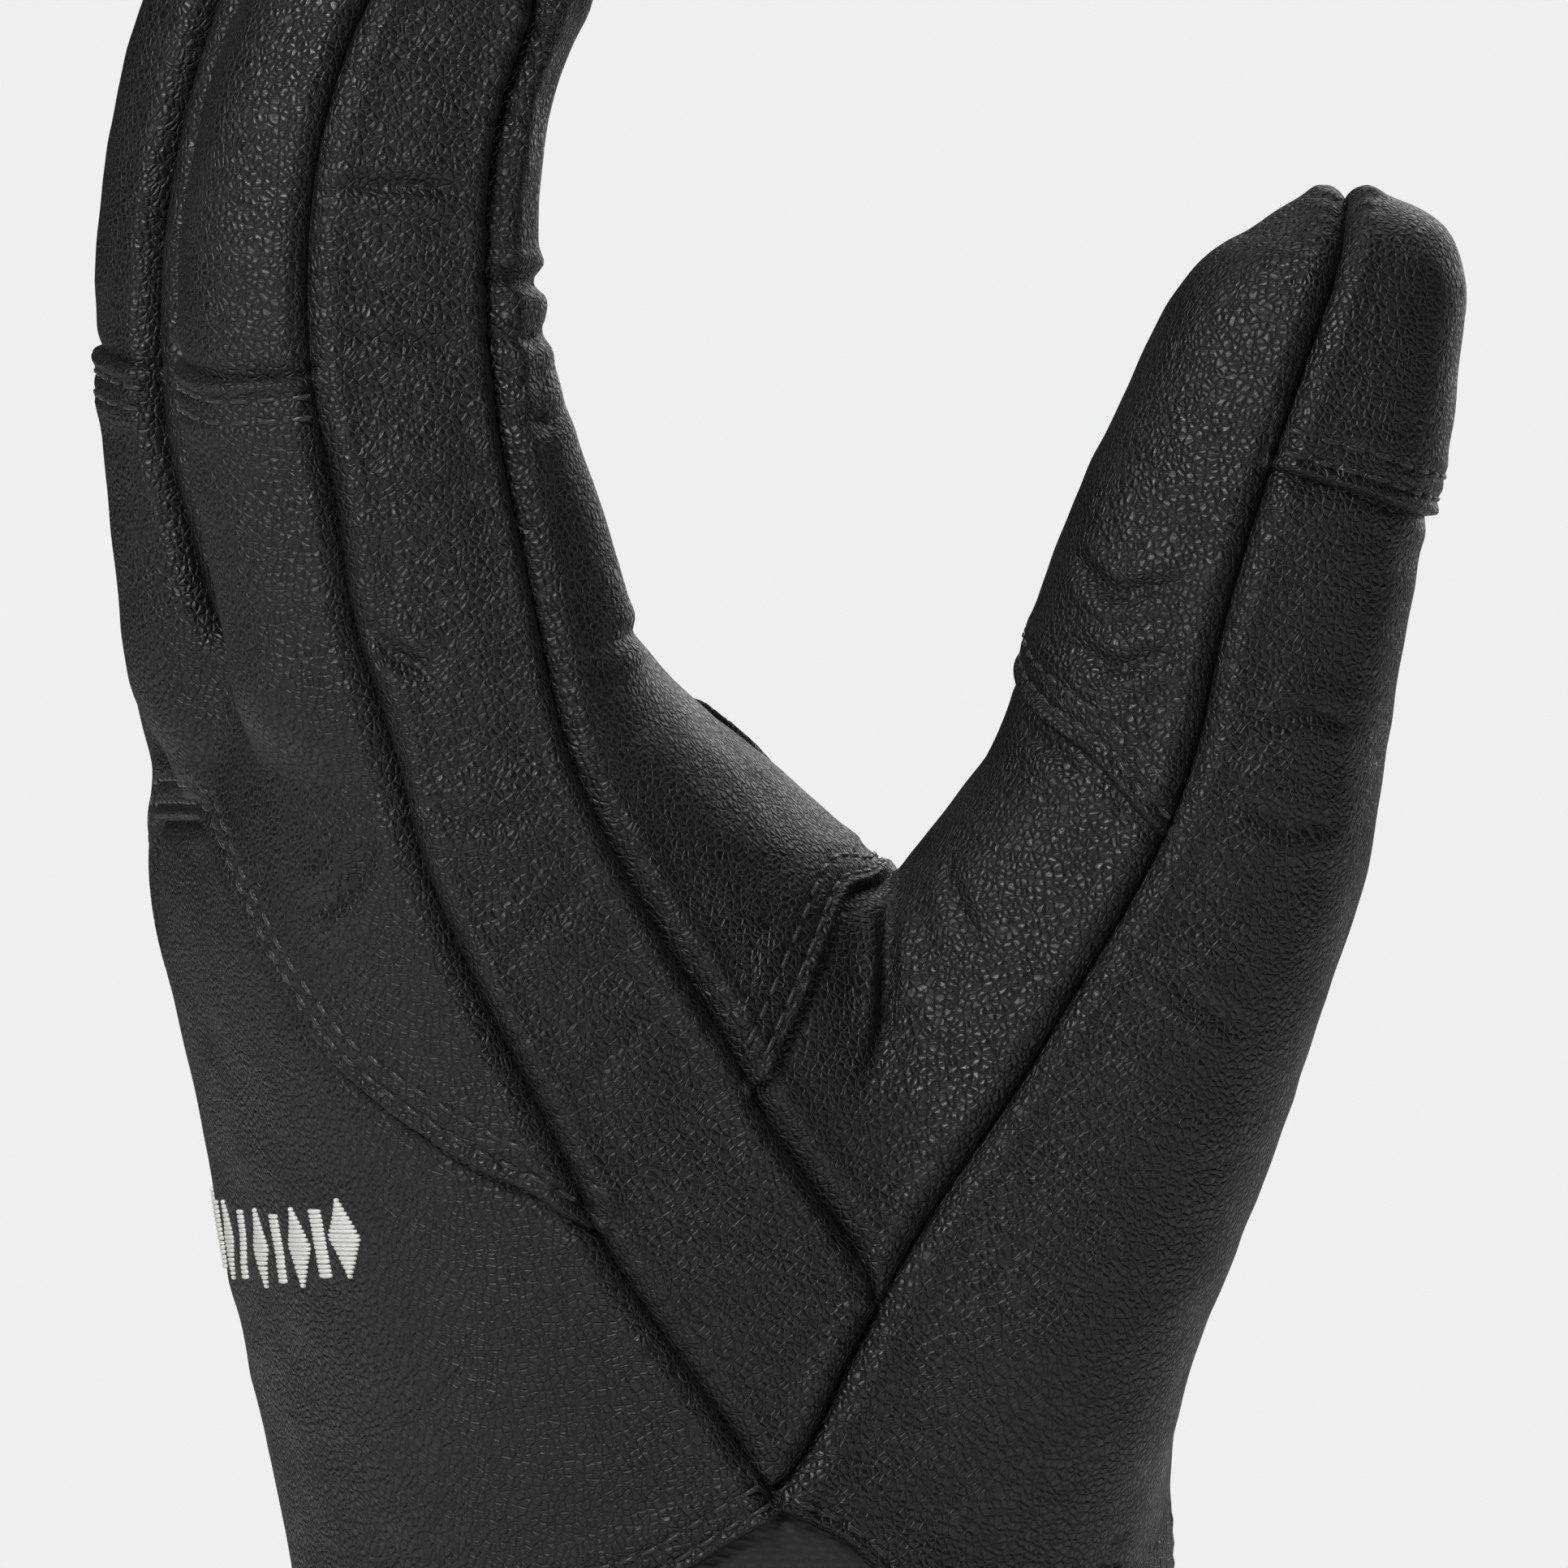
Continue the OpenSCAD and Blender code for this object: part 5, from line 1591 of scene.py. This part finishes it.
def strap_along(name, path, across, half_w, half_t, closed, body, nodes=()):
    """Woven strap swept along a path, rounded at its edges. across is the direction of its width."""
    P = np.array(path, float)
    T = unit(np.roll(P, -1, 0) - np.roll(P, 1, 0)) if closed else unit(np.gradient(P, axis=0))
    U = unit(across - T * (T @ across)[:, None])
    V = np.cross(T, U)
    step_ = np.linalg.norm(np.diff(P, axis=0, append=P[:1]), axis=1)
    s_ = np.concatenate([[0], np.cumsum(step_)[:-1]])
    q = np.arange(24) * 2 * np.pi / 24
    w = np.sign(np.cos(q)) * np.abs(np.cos(q)) ** 0.6
    t = np.sign(np.sin(q)) * np.abs(np.sin(q)) ** 0.6
    rib = 1 - 0.05 * (1 + np.cos(2 * np.pi * s_[:, None] / 1.0 + np.pi * (np.arange(24)[None] % 2)))
    W = P[:, None] + U[:, None] * (half_w * w * rib)[..., None] + V[:, None] * (half_t * t * rib)[..., None]
    n_, m_ = W.shape[:2]
    i_, j_ = np.meshgrid(np.arange(n_ if closed else n_ - 1), np.arange(m_), indexing="ij")
    a_, b_ = (i_ * m_ + j_).ravel(), (((i_ + 1) % n_) * m_ + j_).ravel()
    c_, d_ = (((i_ + 1) % n_) * m_ + (j_ + 1) % m_).ravel(), (i_ * m_ + (j_ + 1) % m_).ravel()
    faces = [np.stack([a_, b_, c_, d_], 1)]
    if not closed:
        k_ = np.arange(m_ // 2 - 1)
        lid = np.stack([k_, k_ + 1, m_ - 2 - k_, m_ - 1 - k_], 1)
        faces += [lid, lid[:, ::-1] + (n_ - 1) * m_]
    F_ = np.concatenate(faces)
    Q = W.reshape(-1, 3)
    volume = np.einsum("ij,ij->i", Q[F_[:, 0]],
        np.cross(Q[F_[:, 1]], Q[F_[:, 2]]) + np.cross(Q[F_[:, 2]], Q[F_[:, 3]])).sum()
    obj = new_object(name, Q, F_ if volume > 0 else F_[:, ::-1], WEBBING)
    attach(obj, body)
    if nodes:
        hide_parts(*nodes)


def round_corners(points, radius, step_len):
    """A closed path through straight runs joined by arcs."""
    out = []
    n_ = len(points)
    for k in range(n_):
        p0, p1, p2 = (np.array(points[(k + o_) % n_], float) for o_ in (-1, 0, 1))
        a_, b_ = p1 + radius * unit(p0 - p1), p1 + radius * unit(p2 - p1)
        centre = a_ + b_ - p1
        for f_ in np.linspace(0, math.pi / 2, 8):
            out.append(centre + (a_ - centre) * math.cos(f_) + (b_ - centre) * math.sin(f_))
        p3 = p2 + radius * unit(p1 - p2)
        runs = max(2, int(np.linalg.norm(p3 - b_) / step_len))
        out += [b_ + (p3 - b_) * f_ / runs for f_ in range(1, runs)]
    return out


LOOP_X, LOOP_Z = 50.4, 26.0
strap_along("pull_loop_webbing", round_corners([(LOOP_X, -6.5, LOOP_Z), (LOOP_X, 6.5, LOOP_Z), (LOOP_X, 6.5, 8.5),
    (LOOP_X, -6.5, 8.5)], 1.6, 0.35),
            np.array([1.0, 0, 0]), 0.98, 0.98, True, "pull_loop", ["pull_loop"])
turn = np.radians(np.linspace(128, -128, 40))
wrap = [(46.6, 0, LOOP_Z + 0.62), (47.4, 0, LOOP_Z + 0.64), (48.1, 0, LOOP_Z + 0.82)]
wrap = wrap + [(LOOP_X + 1.85 * math.cos(q_), 0, LOOP_Z + 1.85 * math.sin(q_))
    for q_ in turn] + [(x_, y_, 2 * LOOP_Z - z_) for x_, y_, z_ in wrap[::-1]]
strap_along("pull_loop_tongue_webbing", wrap, np.array([0, 1.0, 0]), 3.9, 0.42, False, "hand")
plate("pull_loop_patch_webbing", -7.4, 7.4, 20.2, 31.8, 46.1, 1.15, WEBBING, "hand",
    ["pull_loop_anchor"], 1.5, texture=cord_rib, step=0.4)
edge_stitches("pull_loop_patch_thread", -7.4, 7.4, 20.2, 31.8, 47.3, 1.2, "hand")


# ---------------------------------------------------------------- camera, light and backdrop
MID = RIGHT * 5.93 + np.array([0, 0, 153.1])
cam = bpy.data.cameras.new("camera")
cam.sensor_width = 36
cam.lens = 560
distance = VIEW_WIDTH * cam.lens / cam.sensor_width
cam.clip_end = 50
cam_obj = bpy.data.objects.new("camera", cam)
bpy.context.scene.collection.objects.link(cam_obj)
cam_obj.location = Vector(MID * MM) - Vector(LOOK) * distance
cam_obj.rotation_mode = "QUATERNION"
cam_obj.rotation_quaternion = Vector(LOOK).to_track_quat("-Z", "Y")
bpy.context.scene.camera = cam_obj


FLOOR_HALF, FLOOR_COLOR = 1.5, (0.8, 0.8, 0.805, 1)
corners = [(x * FLOOR_HALF, y * FLOOR_HALF, -0.0005) for x, y in ((-1, -1), (1, -1), (1, 1), (-1, 1))]
floor_mesh = bpy.data.meshes.new("floor")
floor_mesh.from_pydata(corners, [], [(0, 1, 2, 3)])
floor_look = bpy.data.materials.new("floor")
floor_look.use_nodes = True
shader = floor_look.node_tree.nodes["Principled BSDF"]
shader.inputs["Base Color"].default_value = FLOOR_COLOR
shader.inputs["Roughness"].default_value = 0.9
shader.inputs["Specular IOR Level"].default_value = 0.1
# a faint glow keeps the floor pale far from the lights
shader.inputs["Emission Color"].default_value = FLOOR_COLOR
shader.inputs["Emission Strength"].default_value = 0.2
floor_mesh.materials.append(floor_look)
floor_obj = bpy.data.objects.new("floor", floor_mesh)
bpy.context.scene.collection.objects.link(floor_obj)
floor_obj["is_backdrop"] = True


def area(name, where, target, size, power):
    l = bpy.data.lights.new(name, "AREA")
    l.energy = power
    l.size = size
    ob = bpy.data.objects.new(name, l)
    bpy.context.scene.collection.objects.link(ob)
    ob.location = where
    d = Vector(target) - Vector(where)
    ob.rotation_mode = "QUATERNION"
    ob.rotation_quaternion = d.to_track_quat("-Z", "Y")


C0 = Vector(MID * MM)
R_, L_ = Vector(RIGHT), Vector(LOOK)
area("key", C0 - L_ * 0.45 - R_ * 0.26 + Vector((0, 0, 0.36)), C0 - R_ * 0.02 + Vector((0, 0, 0.04)), 0.2, 3.3)
area("fill", C0 - L_ * 0.75 + R_ * 0.85 + Vector((0, 0, 0.1)), C0, 0.5, 0.35)
area("side", C0 - L_ * 0.35 - R_ * 1.0 + Vector((0, 0, 0.25)), C0, 0.5, 0.7)
area("top", C0 + L_ * 0.1 + Vector((0, 0, 0.9)), C0, 0.8, 1.6)
area("behind", C0 + L_ * 0.9 + R_ * 0.4 + Vector((0, 0, 0.45)), C0, 0.9, 5)
# the camera sees a pale backdrop; the glove is lit by a dim one, so that the area lights shape it
world = bpy.data.worlds.new("world")
world.use_nodes = True
back_seen = world.node_tree.nodes["Background"]
back_seen.inputs["Color"].default_value = (0.862, 0.862, 0.866, 1)
back_soft = world.node_tree.nodes.new("ShaderNodeBackground")
back_soft.inputs["Color"].default_value = (0.9, 0.9, 0.91, 1)
back_soft.inputs["Strength"].default_value = 0.025
path = world.node_tree.nodes.new("ShaderNodeLightPath")
both = world.node_tree.nodes.new("ShaderNodeMixShader")
world.node_tree.links.new(path.outputs["Is Camera Ray"], both.inputs[0])
world.node_tree.links.new(back_soft.outputs[0], both.inputs[1])
world.node_tree.links.new(back_seen.outputs[0], both.inputs[2])
world.node_tree.links.new(both.outputs[0], world.node_tree.nodes["World Output"].inputs["Surface"])
bpy.context.scene.world = world
bpy.context.scene.view_settings.view_transform = "Standard"

lo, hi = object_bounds()
